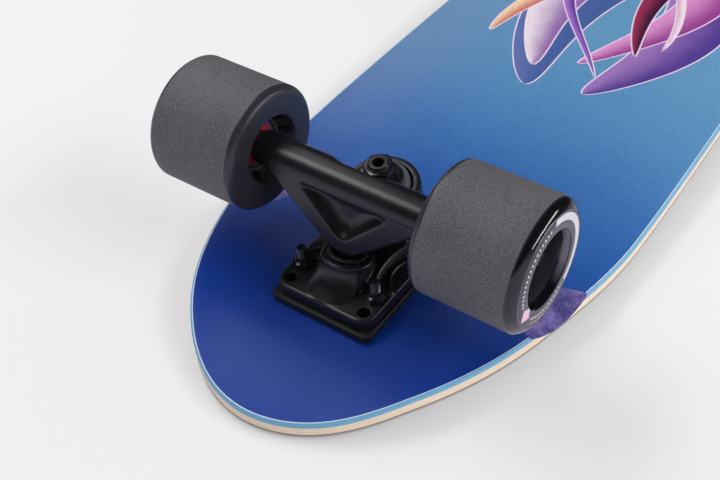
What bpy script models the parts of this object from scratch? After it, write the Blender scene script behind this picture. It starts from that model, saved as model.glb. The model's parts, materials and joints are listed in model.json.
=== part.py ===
"""Cruiser skateboard lying upside down, as it is shown: riding side down, wheels up.

Board frame: X runs from the nose (-X) to the kicked tail (+X), Y across, Z up, with z = 0 on the
printed face. Truck frame: x runs inward from the outermost row of baseplate holes, z = 0 on the
baseplate's underside. The whole board is then pitched so that nose and tail tip touch the ground.
"""
import math

import bmesh
import bpy
from mathutils import Matrix, Vector

MM = 0.001
GAP = 0.3 * MM                     # clearance between pieces that seat on each other

# Deck, measured along its printed face
DECK_LENGTH = 724 * MM
DECK_WIDTH = 196 * MM
DECK_THICKNESS = 9.3 * MM
NOSE_TAPER_LENGTH = 201 * MM       # nose tip to the widest station
NOSE_POWER = 2.39
NOSE_ROUNDNESS = 1.94
TAIL_NARROWING = 24 * MM           # half width lost between the widest station and the tail
TAIL_ROUND_LENGTH = 105 * MM
TAIL_POWER = 2.5
TAIL_ROUNDNESS = 2.1
EDGE_ROUND = 2.6 * MM              # round-over of the rail on the printed side
EDGE_CHAMFER = 0.9 * MM            # rail on the riding side
FLAT_HALF_WIDTH = 30 * MM          # level strip that carries the trucks
CONCAVE_DEPTH = 5.6 * MM           # rails below the middle strip between the trucks
SHOULDER_RISE = 1.9 * MM           # rails over the strip beside the front truck
CREST_RISE = 3.6 * MM              # and round the nose
NOSE_DROP = 3.0 * MM               # tip below the strip
CREST_RUN = 45 * MM                # nose tip to the crest
SHOULDER_RUN = 105 * MM            # nose tip to the shoulder
CONCAVE_RUN = 185 * MM             # nose tip to full concave
TAIL_CONCAVE_RUN = 120 * MM        # over which the concave fades ahead of the kick
KICK_RADIUS = 120 * MM
KICK_ANGLE = math.radians(20)
KICK_START = 14 * MM               # from the rear truck's outermost holes
NOSE_ROWS = 11                     # cross rows of the mesh
TAIL_ROWS = 6
GRIP_THICKNESS = 0.8 * MM
GRIP_INSET = 1.4 * MM

# Trucks and their places
NOSE_OVERHANG = 64.8 * MM          # nose tip to the front truck's outermost holes
WHEELBASE = 394 * MM               # between the two inner rows of bolts
RISER_THICKNESS = 4.2 * MM
RISER_MARGIN = 2.0 * MM
RISER_CORNER = 3.2 * MM
OLD_PATTERN = 63.5 * MM            # outermost row to the inner row
NEW_PATTERN = 54 * MM              # bolted row to the inner row
HOLE_SPREAD = 41.3 * MM
HOLE_RADIUS = 2.9 * MM

# Scoops sanded into the rails so that a leaning wheel clears them
WELL_RADIUS = 60 * MM
WELL_DEPTH = 4.2 * MM              # at the rail
WELL_REACH = 31 * MM               # from the rail inward
WELL_INBOARD = 28 * MM             # well centre, inward from the axle

# Mounting hardware
BOLT_RADIUS = 2.4 * MM
BOLT_HEAD_RADIUS = 4.4 * MM
BOLT_PROUD = 6.2 * MM              # thread that stands out of the nut
NUT_FLATS = 8.0 * MM
NUT_HEIGHT = 4.6 * MM
NUT_CHAMFER = 0.6 * MM
NUT_COLLAR_STEP = 0.8 * MM         # from a lock nut's flats in to its collar

# Baseplate
PLATE_MARGIN = 6.4 * MM            # hole row to the end of the plate
PLATE_WIDTH = 52.6 * MM
PLATE_CORNER = 7.5 * MM
FLANGE_THICKNESS = 6.5 * MM
FLANGE_ROUND = 1.1 * MM
BOSS_RADIUS = 18.0 * MM            # round platform under the bushings
WAIST_HALF_WIDTH = 14.2 * MM       # spine between the two bosses
WAIST_RADIUS = 31.3 * MM
WAIST_X = 27.0 * MM
SPINE_DRAFT = 1.1 * MM             # lean of the spine's side walls
LIP_RADIUS = 16.7 * MM             # raised lip round the side panels
LIP_WIDTH = 1.6 * MM
LIP_HEIGHT = 1.3 * MM
LIP_X = 29.4 * MM
LIP_SIDE = 33.5 * MM               # centre of the lip, outside the plate's edge

# Pivot
PIVOT_X = 15.6 * MM
PIVOT_HEIGHT = 11.4 * MM           # centre of the ball over the baseplate's underside
PIVOT_BALL_RADIUS = 5.5 * MM
PIVOT_NECK_RADIUS = 4.9 * MM
PIVOT_NECK_LENGTH = 11.5 * MM      # ball centre to where the root starts to flare
PIVOT_ROOT_RADIUS = 6.0 * MM
PIVOT_ROOT_HEIGHT = 17.5 * MM
CUP_TILT = math.radians(15)        # cup axis, leaning inward from vertical
CUP_DEPTH = 6.0 * MM               # ball centre to the housing's rim
CUP_WALL = 2.1 * MM
CUP_FLOOR = 2.0 * MM
CUP_CLEARANCE = 0.4 * MM
CUP_LIP = 1.1 * MM                 # height of the cup's rim over the housing
CUP_LIP_OVERHANG = 1.3 * MM        # and its reach over the housing's top
HOUSING_WALL = 4.1 * MM            # metal round the cup
HOUSING_FOOT = 13.0 * MM           # half width of its foot at the plate's outer edge
HOUSING_SQUARENESS = 0.7           # 1 is an elliptic foot, less is squarer

# Kingpin and what it carries, measured along its own axis from the seat
KINGPIN_TILT = math.radians(8.5)   # nut end leans toward the nose or tail
KINGPIN_X = 50.1 * MM              # where the axis meets the seat
SEAT_HEIGHT = 14.6 * MM
KINGPIN_RADIUS = 4.75 * MM
KINGPIN_BORE = 2.8 * MM
KINGPIN_HEAD_FLATS = 14.3 * MM
KINGPIN_HEAD_HEIGHT = 5.5 * MM
KINGPIN_GRIP = 6.2 * MM            # metal between the seat and the head
KINGPIN_PROUD = 0.8 * MM
WASHER_THICKNESS = 1.5 * MM
WASHER_EDGE = 0.4 * MM             # bevel of its rim
BOARDSIDE_WASHER_RADIUS = 14.0 * MM
ROADSIDE_WASHER_RADIUS = 10.6 * MM
BUSHING_BORE_CLEARANCE = 0.3 * MM
BOARDSIDE_BUSHING_HEIGHT = 13.0 * MM
BOARDSIDE_BUSHING_RADIUS = 13.6 * MM
ROADSIDE_BUSHING_HEIGHT = 6.9 * MM
ROADSIDE_BUSHING_RADIUS = 13.2 * MM
BUSHING_NECK_RADIUS = 8.2 * MM
BUSHING_WAIST = 0.9 * MM
KINGPIN_NUT_FLATS = 13.0 * MM
KINGPIN_NUT_HEX = 7.9 * MM
KINGPIN_NUT_COLLAR = 0.7 * MM

# Hanger
AXLE_X = 26.4 * MM
AXLE_HEIGHT = 52.6 * MM            # over the baseplate's underside
HANGER_WIDTH = 105 * MM
BARREL_RADIUS = 8.3 * MM
BARREL_CHAMFER = 0.8 * MM
WEB_FRONT = 10.3 * MM              # axle line to the web's face
WEB_LEAN = math.radians(6.3)
WEB_THICKNESS = 8.0 * MM
WEB_HALF_WIDTH = 43.6 * MM         # at the axle's height
WEB_SIDE_ANGLE = math.radians(50.8)
WEB_TIP_RADIUS = 14.5 * MM
WEB_EDGE = 1.2 * MM
POCKET_HALF_WIDTH = 24.5 * MM
POCKET_TOP = 1.2 * MM              # below the axle line
POCKET_SIDE_ANGLE = math.radians(45)
POCKET_TIP_RADIUS = 7.0 * MM
POCKET_DEPTH = 4.6 * MM
POCKET_WALL_RUN = 4.4 * MM         # how far the pocket's walls slope in
RING_RADIUS = 18.0 * MM
RING_WEB = 4.5 * MM                # metal between the two bushings
RING_BORE = 9.0 * MM
RING_UPPER_RIM = 4.2 * MM
RING_LOWER_RIM = 2.0 * MM
RIM_CLEARANCE = 1.1 * MM           # round each bushing
RELIEF_DEPTH = 1.8 * MM            # flat on the barrel beside the kingpin nut
RELIEF_HALF_LENGTH = 10 * MM
RELIEF_RAMP = 6.5 * MM
RELIEF_ANGLE = math.radians(39)

# Axle, wheels and bearings
AXLE_RADIUS = 4.0 * MM
BORE_CLEARANCE = 0.3 * MM
SPEED_WASHER = 0.8 * MM
SPEED_WASHER_RADIUS = 6.4 * MM
BEARING_WIDTH = 7.0 * MM
BEARING_RADIUS = 11.0 * MM
INNER_RACE_RADIUS = 6.0 * MM
OUTER_RACE = 1.3 * MM              # wall of the outer race
SHIELD_RECESS = 0.5 * MM
BEARING_SPACING = 10.3 * MM        # between the two bearings
SPACER_RADIUS = 5.3 * MM
AXLE_NUT_FLATS = 12.7 * MM
AXLE_NUT_HEX = 5.0 * MM
AXLE_NUT_COLLAR = 1.6 * MM
AXLE_PROUD = 0.9 * MM
WHEEL_RADIUS = 30.5 * MM
WHEEL_WIDTH = 50.4 * MM
WHEEL_INNER_OFFSET = 6.4 * MM      # inner face, over the hanger's end
PATCH_INSET_INNER = 3.5 * MM       # face to the start of the tread
PATCH_INSET_OUTER = 4.0 * MM
LIP_FACE_RADIUS = 26.3 * MM        # where the side face meets the rounded lip
CORE_MOUTH_RADIUS = 17.0 * MM
CORE_SHOULDER_RADIUS = 9.3 * MM    # stops the bearings

WHEEL_FACETS = 24
BARREL_FACETS = 18                 # the hanger's barrel and ring
ROUND_FACETS = 16                  # bushings, washers, bearings and other turned pieces
AXLE_FACETS = 10
SMALL_FACETS = 8                  # holes, bolts and nuts

COLOURS = {
    "print": ((0.028, 0.075, 0.30), 0.45, 0.0),
    "grip": ((0.018, 0.018, 0.019), 0.95, 0.0),
    "riser": ((0.020, 0.019, 0.020), 0.60, 0.0),
    "cast": ((0.024, 0.023, 0.027), 0.42, 0.35),
    "steel_black": ((0.030, 0.030, 0.032), 0.32, 0.90),
    "steel": ((0.55, 0.56, 0.58), 0.28, 1.0),
    "bushing": ((0.085, 0.088, 0.095), 0.50, 0.0),
    "rubber": ((0.012, 0.012, 0.013), 0.70, 0.0),
    "urethane": ((0.060, 0.058, 0.064), 0.55, 0.0),
    "shield": ((0.55, 0.045, 0.050), 0.45, 0.0),
}


def clear_scene():
    for obj in list(bpy.data.objects):
        bpy.data.objects.remove(obj, do_unlink=True)


def material(key):
    found = bpy.data.materials.get(key)
    if found:
        return found
    colour, roughness, metallic = COLOURS[key]
    made = bpy.data.materials.new(key)
    made.use_nodes = True
    shader = made.node_tree.nodes["Principled BSDF"]
    shader.inputs["Base Color"].default_value = (*colour, 1.0)
    shader.inputs["Roughness"].default_value = roughness
    shader.inputs["Metallic"].default_value = metallic
    made.diffuse_color = (*colour, 1.0)
    return made


def mesh_from(bm, name):
    bmesh.ops.recalc_face_normals(bm, faces=bm.faces[:])
    mesh = bpy.data.meshes.new(name)
    bm.to_mesh(mesh)
    bm.free()
    return mesh


def place(name, mesh, key, parent, matrix=None, smooth_angle=35):
    """One named piece; its mesh may be shared with a like piece."""
    if not mesh.materials:
        mesh.materials.append(material(key))
        mesh.shade_smooth()
        mesh.set_sharp_from_angle(angle=math.radians(smooth_angle))
    obj = bpy.data.objects.new(name, mesh)
    bpy.context.scene.collection.objects.link(obj)
    obj.parent = parent
    if matrix is not None:
        obj.matrix_local = matrix
    return obj


def empty(name, parent, matrix):
    obj = bpy.data.objects.new(name, None)
    obj.empty_display_size = 0.02
    bpy.context.scene.collection.objects.link(obj)
    obj.parent = parent
    obj.matrix_local = matrix
    return obj


def evaluated(mesh, *modifiers):
    """Bake modifiers, given as (type, settings), into a new mesh."""
    obj = bpy.data.objects.new("work", mesh)
    bpy.context.scene.collection.objects.link(obj)
    others = []
    for kind, settings in modifiers:
        modifier = obj.modifiers.new(kind.lower(), kind)
        for attribute, value in settings.items():
            if attribute == "tool":
                tool = bpy.data.objects.new("tool", value)
                bpy.context.scene.collection.objects.link(tool)
                others.append(tool)
                modifier.object = tool
            else:
                setattr(modifier, attribute, value)
    depsgraph = bpy.context.evaluated_depsgraph_get()
    result = bpy.data.meshes.new_from_object(obj.evaluated_get(depsgraph))
    for temporary in [obj, *others]:
        bpy.data.objects.remove(temporary, do_unlink=True)
    return result


def union(mesh, *parts):
    return evaluated(mesh, *[("BOOLEAN", {"operation": "UNION", "tool": part}) for part in parts])


def cut(mesh, *tools):
    return evaluated(mesh, *[("BOOLEAN", {"operation": "DIFFERENCE", "tool": tool}) for tool in tools])


def tidy(mesh, distance=0.02 * MM, angle=0.4):
    """Merge the slivers that cuts leave and melt needless edges in flat faces."""
    bm = bmesh.new()
    bm.from_mesh(mesh)
    bmesh.ops.remove_doubles(bm, verts=bm.verts[:], dist=distance)
    bmesh.ops.dissolve_degenerate(bm, dist=distance, edges=bm.edges[:])
    bmesh.ops.dissolve_limit(
        bm, angle_limit=math.radians(angle), verts=bm.verts[:], edges=bm.edges[:], delimit={"NORMAL"}
    )
    return mesh_from(bm, mesh.name)


def turned(profile, segments, name="turned"):
    """Spin a profile of (radius, height) points round Z. Ends on the axis close it as a solid;
    otherwise the profile is a loop and the piece is a ring."""
    bm = bmesh.new()
    solid = profile[0][0] < 1e-9 and profile[-1][0] < 1e-9
    verts = [bm.verts.new((radius, 0, height)) for radius, height in profile]
    edges = [bm.edges.new(pair) for pair in zip(verts, verts[1:])]
    if not solid:
        edges.append(bm.edges.new((verts[-1], verts[0])))
    bmesh.ops.spin(
        bm, geom=verts + edges, axis=(0, 0, 1), cent=(0, 0, 0), angle=2 * math.pi,
        steps=segments, use_merge=True,
    )
    bmesh.ops.remove_doubles(bm, verts=bm.verts[:], dist=1e-7)
    return mesh_from(bm, name)


def cylinder(radius, bottom, top, segments, chamfer=0.0):
    if chamfer > 0:
        profile = [
            (0, bottom), (radius - chamfer, bottom), (radius, bottom + chamfer),
            (radius, top - chamfer), (radius - chamfer, top), (0, top),
        ]
    else:
        profile = [(0, bottom), (radius, bottom), (radius, top), (0, top)]
    return turned(profile, segments, "cylinder")


def prism(outline, bottom, top, name="prism"):
    """Extrude a closed outline of (x, y) points."""
    bm = bmesh.new()
    face = bm.faces.new([bm.verts.new((x, y, bottom)) for x, y in outline])
    lifted = bmesh.ops.extrude_face_region(bm, geom=[face])
    moved = [item for item in lifted["geom"] if isinstance(item, bmesh.types.BMVert)]
    bmesh.ops.translate(bm, verts=moved, vec=(0, 0, top - bottom))
    return mesh_from(bm, name)


def loft(rings, name="loft"):
    """Skin rings of equal count, with a flat cap on the first and the last."""
    bm = bmesh.new()
    loops = [[bm.verts.new(point) for point in ring] for ring in rings]
    for lower, upper in zip(loops, loops[1:]):
        count = len(lower)
        for i in range(count):
            bm.faces.new((lower[i], lower[(i + 1) % count], upper[(i + 1) % count], upper[i]))
    bm.faces.new(loops[0])
    bm.faces.new(loops[-1])
    return mesh_from(bm, name)


def moved(mesh, matrix):
    copy = mesh.copy()
    copy.transform(matrix)
    return copy


def joined(*meshes):
    """Several separate tools as one mesh."""
    bm = bmesh.new()
    for mesh in meshes:
        bm.from_mesh(mesh)
    return mesh_from(bm, "tools")


def rounded_corners(corners, radii, steps=5):
    """Outline through the corners, each rounded by its own radius."""
    count = len(corners)
    outline = []
    for i in range(count):
        corner = Vector(corners[i])
        before = (Vector(corners[i - 1]) - corner).normalized()
        after = (Vector(corners[(i + 1) % count]) - corner).normalized()
        half = before.angle(after) / 2
        radius = radii[i]
        if radius <= 0:
            outline.append(tuple(corner))
            continue
        centre = corner + (before + after).normalized() * (radius / math.sin(half))
        start = corner + before * (radius / math.tan(half)) - centre
        turn = start.angle_signed(corner + after * (radius / math.tan(half)) - centre)
        for step in range(steps + 1):
            angle = -turn * step / steps
            spoke = Matrix.Rotation(angle, 2) @ start
            outline.append(tuple(centre + spoke))
    return outline


def rounded_rectangle(x0, x1, half_width, radius, steps=5):
    corners = [(x0, -half_width), (x1, -half_width), (x1, half_width), (x0, half_width)]
    return rounded_corners(corners, [radius] * 4, steps)


def hexagon(flats):
    radius = flats / math.sqrt(3)
    return [(radius * math.cos(math.radians(60 * i)), radius * math.sin(math.radians(60 * i))) for i in range(6)]


def along_y():
    """Turns a mesh made round Z so that it lies along +Y."""
    return Matrix.Rotation(math.radians(-90), 4, "X")


# Places that several pieces share, all in the board or the truck frame
NOSE_X = -DECK_LENGTH / 2
TAIL_X = DECK_LENGTH / 2
FRONT_ROW_X = NOSE_X + NOSE_OVERHANG
REAR_ROW_X = FRONT_ROW_X + 2 * OLD_PATTERN + WHEELBASE
HOLE_ROWS = (0.0, OLD_PATTERN - NEW_PATTERN, OLD_PATTERN)
BOLT_ROWS = HOLE_ROWS[1:]
PLATE_X0 = -PLATE_MARGIN
PLATE_X1 = OLD_PATTERN + PLATE_MARGIN
TRUCK_Z = RISER_THICKNESS + 2 * GAP
BALL = Vector((PIVOT_X, 0, PIVOT_HEIGHT))
CUP_AXIS = Vector((math.sin(CUP_TILT), 0, math.cos(CUP_TILT)))
KINGPIN_AXIS = Vector((-math.sin(KINGPIN_TILT), 0, math.cos(KINGPIN_TILT)))
SEAT = Vector((KINGPIN_X, 0, SEAT_HEIGHT))

BOARDSIDE_WASHER_S = GAP
BOARDSIDE_BUSHING_S = BOARDSIDE_WASHER_S + WASHER_THICKNESS + GAP
RING_FLOOR_S = BOARDSIDE_BUSHING_S + BOARDSIDE_BUSHING_HEIGHT + GAP
RING_TOP_S = RING_FLOOR_S + RING_WEB
ROADSIDE_BUSHING_S = RING_TOP_S + GAP
ROADSIDE_WASHER_S = ROADSIDE_BUSHING_S + ROADSIDE_BUSHING_HEIGHT + GAP
KINGPIN_NUT_S = ROADSIDE_WASHER_S + WASHER_THICKNESS + GAP
KINGPIN_TIP_S = KINGPIN_NUT_S + KINGPIN_NUT_HEX + KINGPIN_NUT_COLLAR + KINGPIN_PROUD
RING_CENTRE = SEAT + KINGPIN_AXIS * (RING_FLOOR_S + RING_WEB / 2)
STEER_AXIS = (RING_CENTRE - BALL).normalized()
AXLE = Vector((AXLE_X, 0, AXLE_HEIGHT))
HANGER_END = HANGER_WIDTH / 2
RACE_START = HANGER_END + GAP + SPEED_WASHER + GAP
RACE_END = RACE_START + 2 * BEARING_WIDTH + BEARING_SPACING
CUP_RADIUS = PIVOT_BALL_RADIUS + CUP_CLEARANCE + CUP_WALL


def half_width(x):
    """Half of the deck's width at a station along the blank."""
    widest = NOSE_X + NOSE_TAPER_LENGTH
    half = DECK_WIDTH / 2
    if x < widest:
        share = min(1.0, (widest - x) / NOSE_TAPER_LENGTH)
        return half * max(0.0, 1 - share ** NOSE_POWER) ** (1 / NOSE_ROUNDNESS)
    half -= TAIL_NARROWING * ((x - widest) / (TAIL_X - widest)) ** 1.5
    rounding = TAIL_X - TAIL_ROUND_LENGTH
    if x > rounding:
        share = min(1.0, (x - rounding) / TAIL_ROUND_LENGTH)
        half *= max(0.0, 1 - share ** TAIL_POWER) ** (1 / TAIL_ROUNDNESS)
    return half


def smooth(value):
    value = min(1.0, max(0.0, value))
    return value * value * (3 - 2 * value)


def rail_height(x):
    """Height of the printed face at the rail, eased from station to station."""
    kick_x = REAR_ROW_X + KICK_START
    stations = (
        (NOSE_X, -NOSE_DROP), (NOSE_X + CREST_RUN, CREST_RISE), (NOSE_X + SHOULDER_RUN, SHOULDER_RISE),
        (NOSE_X + CONCAVE_RUN, -CONCAVE_DEPTH), (kick_x - TAIL_CONCAVE_RUN, -CONCAVE_DEPTH), (kick_x, 0.0),
    )
    for (x0, z0), (x1, z1) in zip(stations, stations[1:]):
        if x <= x1:
            return z0 + (z1 - z0) * smooth((x - x0) / (x1 - x0))
    return 0.0


def face_height(x, y):
    """Printed face before the tail is kicked: level middle strip, nose drop and curved sides."""
    middle = -NOSE_DROP * smooth((NOSE_X + CREST_RUN - x) / CREST_RUN)
    half = max(half_width(x), 1 * MM)
    strip = min(FLAT_HALF_WIDTH, 0.5 * half)
    side = min(1.0, max(0.0, abs(y) - strip) / (half - strip))
    return middle + (rail_height(x) - middle) * side * side


def bend(x, y, z):
    """Press a point of the flat blank into the moulded deck."""
    z += face_height(x, y)
    kick_x = REAR_ROW_X + KICK_START
    if x <= kick_x:
        return Vector((x, y, z))
    run = x - kick_x
    angle = min(run / KICK_RADIUS, KICK_ANGLE)
    rest = run - angle * KICK_RADIUS
    out = (KICK_RADIUS + z) * math.sin(angle) + rest * math.cos(angle)
    down = (KICK_RADIUS + z) * math.cos(angle) - KICK_RADIUS - rest * math.sin(angle)
    return Vector((kick_x + out, y, down))


def stations():
    """Cross rows of the blank, closer together round the nose, the kick and the tail."""
    kick_x = REAR_ROW_X + KICK_START
    bent_x = kick_x + KICK_RADIUS * KICK_ANGLE
    full_x = NOSE_X + CONCAVE_RUN
    fade_x = kick_x - TAIL_CONCAVE_RUN
    rows = [NOSE_X + CONCAVE_RUN * (1 - math.cos(math.pi / 2 * i / NOSE_ROWS)) for i in range(1, NOSE_ROWS + 1)]
    for start, end in ((full_x, fade_x), (fade_x, kick_x), (kick_x, bent_x)):
        rows += [start + (end - start) * i / 4 for i in range(1, 5)]
    rows += [TAIL_X - (TAIL_X - bent_x) * (1 - math.cos(math.pi / 2 * i / TAIL_ROWS)) for i in range(TAIL_ROWS - 1, 0, -1)]
    return rows


def inset_rows(inset):
    """The rows' ends moved inward, square to the rail: (x, half width) each."""
    step = 0.05 * MM
    rows = []
    for x in stations():
        slope = (half_width(x + step) - half_width(x - step)) / (2 * step)
        length = math.hypot(1, slope)
        rows.append((x + slope / length * inset, half_width(x) - inset / length))
    return rows


def pressed_sheet(levels, name):
    """Sheet of the board's outline, pressed in the mould. Levels are (inset, height) pairs from the
    upper face down to the lower one; the pairs between them shape the rail."""
    bm = bmesh.new()
    loops = []
    for inset, height in levels:
        rows = inset_rows(inset)
        left = [bm.verts.new(bend(x, half, height)) for x, half in rows]
        right = [bm.verts.new(bend(x, -half, height)) for x, half in rows]
        nose = bm.verts.new(bend(NOSE_X + inset, 0, height))
        tail = bm.verts.new(bend(TAIL_X - inset, 0, height))
        loops.append((nose, left, tail, right))
    rims = [[nose, *left, tail, *reversed(right)] for nose, left, tail, right in loops]
    for upper, lower in zip(rims, rims[1:]):
        count = len(upper)
        for i in range(count):
            bm.faces.new((upper[i], upper[(i + 1) % count], lower[(i + 1) % count], lower[i]))
    for (inset, height), (nose, left, tail, right) in ((levels[0], loops[0]), (levels[-1], loops[-1])):
        across = []
        for (x, half), port, starboard in zip(inset_rows(inset), left, right):
            strip = min(FLAT_HALF_WIDTH, 0.5 * half)
            inner = [(strip + half) / 2, strip, -strip, -(strip + half) / 2]
            across.append([port, *[bm.verts.new(bend(x, y, height)) for y in inner], starboard])
        for row, following in zip(across, across[1:]):
            for i in range(len(row) - 1):
                bm.faces.new((row[i], row[i + 1], following[i + 1], following[i]))
        for tip, row in ((nose, across[0]), (tail, across[-1])):
            for one, other in zip(row, row[1:]):
                bm.faces.new((tip, one, other))
    return mesh_from(bm, name)


def bolt_places():
    """Centres of the eight bolts in the board frame."""
    places = []
    for side in (-1, 1):
        for row in BOLT_ROWS:
            places.append((FRONT_ROW_X + row, side * HOLE_SPREAD / 2))
            places.append((REAR_ROW_X - row, side * HOLE_SPREAD / 2))
    return places


def bolt_holes(radius, head_radius, face, through):
    """Countersunk holes from the riding side: a cone at the face, then a plain bore."""
    slope = head_radius - radius
    profile = [
        (0, face - 1 * MM), (head_radius, face - 1 * MM), (head_radius, face),
        (radius, face + slope), (radius, through), (0, through),
    ]
    tool = turned(profile, SMALL_FACETS)
    return joined(*[moved(tool, Matrix.Translation((x, y, 0))) for x, y in bolt_places()])


def well_tools():
    """Tilted cylinders that scoop the rail beside each wheel."""
    tools = []
    for row, inward in ((FRONT_ROW_X, 1), (REAR_ROW_X, -1)):
        x = row + inward * (AXLE_X + WELL_INBOARD)
        rail = half_width(x)
        lean = math.atan2(WELL_DEPTH, WELL_REACH)
        floor = rail_height(x) - WELL_DEPTH
        scoop = moved(cylinder(WELL_RADIUS, -60 * MM, 40 * MM, 64), along_y())
        for side in (-1, 1):
            turn = Matrix.Rotation(-side * lean, 4, "X")
            lift = WELL_RADIUS / math.cos(lean)
            tools.append(moved(scoop, Matrix.Translation((x, side * rail, floor + lift)) @ turn
                               @ Matrix.Rotation(0 if side > 0 else math.pi, 4, "Z")))
    return joined(*tools)


def build_deck(root):
    turn = EDGE_ROUND * (1 - math.cos(math.radians(45)))
    blank = pressed_sheet(
        [(EDGE_ROUND, 0.0), (turn, -turn), (0.0, -EDGE_ROUND), (0.0, EDGE_CHAMFER - DECK_THICKNESS),
         (EDGE_CHAMFER, -DECK_THICKNESS)], "deck")
    holes = bolt_holes(BOLT_RADIUS + GAP, BOLT_HEAD_RADIUS + GAP, -DECK_THICKNESS - GAP, 5 * MM)
    mesh = tidy(cut(blank, well_tools(), holes), angle=0.05)
    place("deck", mesh, "print", root, smooth_angle=30)


def build_grip(root):
    top = -DECK_THICKNESS - GAP
    bottom = top - GRIP_THICKNESS
    sheet = pressed_sheet([(GRIP_INSET, top), (GRIP_INSET, bottom)], "grip_tape")
    tool = cylinder(BOLT_HEAD_RADIUS + 2 * GAP, bottom - 3 * MM, top + 3 * MM, SMALL_FACETS)
    holes = joined(*[moved(tool, Matrix.Translation((x, y, 0))) for x, y in bolt_places()])
    place("grip_tape", tidy(cut(sheet, holes), angle=0.05), "grip", root)


def bolt_mesh():
    """Flat-head machine bolt, its origin on the truck frame's z = 0."""
    head = -TRUCK_Z - DECK_THICKNESS - GAP - GRIP_THICKNESS + 0.2 * MM
    tip = FLANGE_THICKNESS + GAP + NUT_HEIGHT + BOLT_PROUD
    slope = BOLT_HEAD_RADIUS - BOLT_RADIUS
    rim = head + GRIP_THICKNESS
    profile = [(0, head), (BOLT_HEAD_RADIUS, head), (BOLT_HEAD_RADIUS, rim), (BOLT_RADIUS, rim + slope),
               (BOLT_RADIUS, tip), (0, tip)]
    return turned(profile, SMALL_FACETS, "bolt")


def lock_nut(flats, hex_height, collar, bore, facets, washer=0.0, washer_radius=0.0):
    """Hex nut with a collar for its nylon ring, on an optional washer; z = 0 on its seat."""
    base = max(washer, 0.0)
    top = base + hex_height
    lower = [(x, y, base) for x, y in hexagon(flats)]
    edge = [(x, y, top - NUT_CHAMFER) for x, y in hexagon(flats)]
    crown = [(x, y, top) for x, y in hexagon(flats - 2 * NUT_CHAMFER)]
    body = loft([lower, edge, crown], "nut")
    radius = flats / 2 - NUT_COLLAR_STEP
    ring = turned([(0, top - 1 * MM), (radius, top - 1 * MM), (radius - NUT_CHAMFER, top + collar),
                   (0, top + collar)], ROUND_FACETS)
    body = union(body, ring)
    if washer > 0:
        body = union(body, cylinder(washer_radius, 0, washer + 0.1 * MM, ROUND_FACETS))
    return tidy(cut(body, cylinder(bore, -2 * MM, top + collar + 2 * MM, facets)))


def plain_nut_mesh():
    """Mounting nut whose upper corners are chamfered."""
    lower = [(x, y, 0) for x, y in hexagon(NUT_FLATS)]
    edge = [(x, y, NUT_HEIGHT - NUT_CHAMFER) for x, y in hexagon(NUT_FLATS)]
    crown = [(x, y, NUT_HEIGHT) for x, y in hexagon(NUT_FLATS - 2 * NUT_CHAMFER)]
    bore = cylinder(BOLT_RADIUS + GAP, -2 * MM, NUT_HEIGHT + 2 * MM, SMALL_FACETS)
    return tidy(cut(loft([lower, edge, crown], "nut"), bore))


def riser_mesh():
    """Flat pad between deck and baseplate, a little larger all round than the plate."""
    outline = rounded_rectangle(
        PLATE_X0 - RISER_MARGIN, PLATE_X1 + RISER_MARGIN, PLATE_WIDTH / 2 + RISER_MARGIN / 2, RISER_CORNER, 2)
    pad = prism(outline, -TRUCK_Z + GAP, -GAP)
    tool = cylinder(HOLE_RADIUS, -TRUCK_Z - 2 * MM, 2 * MM, SMALL_FACETS)
    holes = [
        moved(tool, Matrix.Translation((x, side * HOLE_SPREAD / 2, 0))) for x in BOLT_ROWS for side in (-1, 1)
    ]
    return tidy(cut(pad, joined(*holes)))


def frame_on(origin, axis):
    """Matrix whose Z lies along the axis and whose Y stays across the board."""
    z = axis.normalized()
    y = Vector((0, 1, 0))
    x = y.cross(z)
    return Matrix.Translation(origin) @ Matrix((x, y, z)).transposed().to_4x4()


def kingpin_frame(s=0.0):
    return frame_on(SEAT + KINGPIN_AXIS * s, KINGPIN_AXIS)


def spine_outline(grow):
    """Plan of the raised spine: round the kingpin boss, waisted, then up to the pivot housing."""
    centre = WAIST_HALF_WIDTH + WAIST_RADIUS
    boss_x = KINGPIN_X + math.tan(KINGPIN_TILT) * (SEAT_HEIGHT - FLANGE_THICKNESS)
    radius = BOSS_RADIUS + grow
    waist = WAIST_RADIUS - grow
    reach = math.hypot(boss_x - WAIST_X, centre)
    bearing = math.atan2(-centre, WAIST_X - boss_x)
    spread = math.acos(min(1.0, (radius ** 2 + reach ** 2 - waist ** 2) / (2 * radius * reach)))
    join = bearing + spread
    side = []
    for i in range(7):
        angle = join * (1 - i / 6)
        side.append((boss_x + radius * math.cos(angle), radius * math.sin(angle)))
    start = math.atan2(side[0][1] + centre, side[0][0] - WAIST_X)
    end = math.pi - math.acos(min(0.95, (WAIST_X - PIVOT_X + 2 * MM) / waist))
    arc = []
    for i in range(1, 6):
        angle = start + (end - start) * i / 5
        arc.append((WAIST_X + waist * math.cos(angle), -centre + waist * math.sin(angle)))
    lower = list(reversed(arc)) + side
    upper = [(x, -y) for x, y in reversed(lower[:-1])]
    return lower + upper


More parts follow.
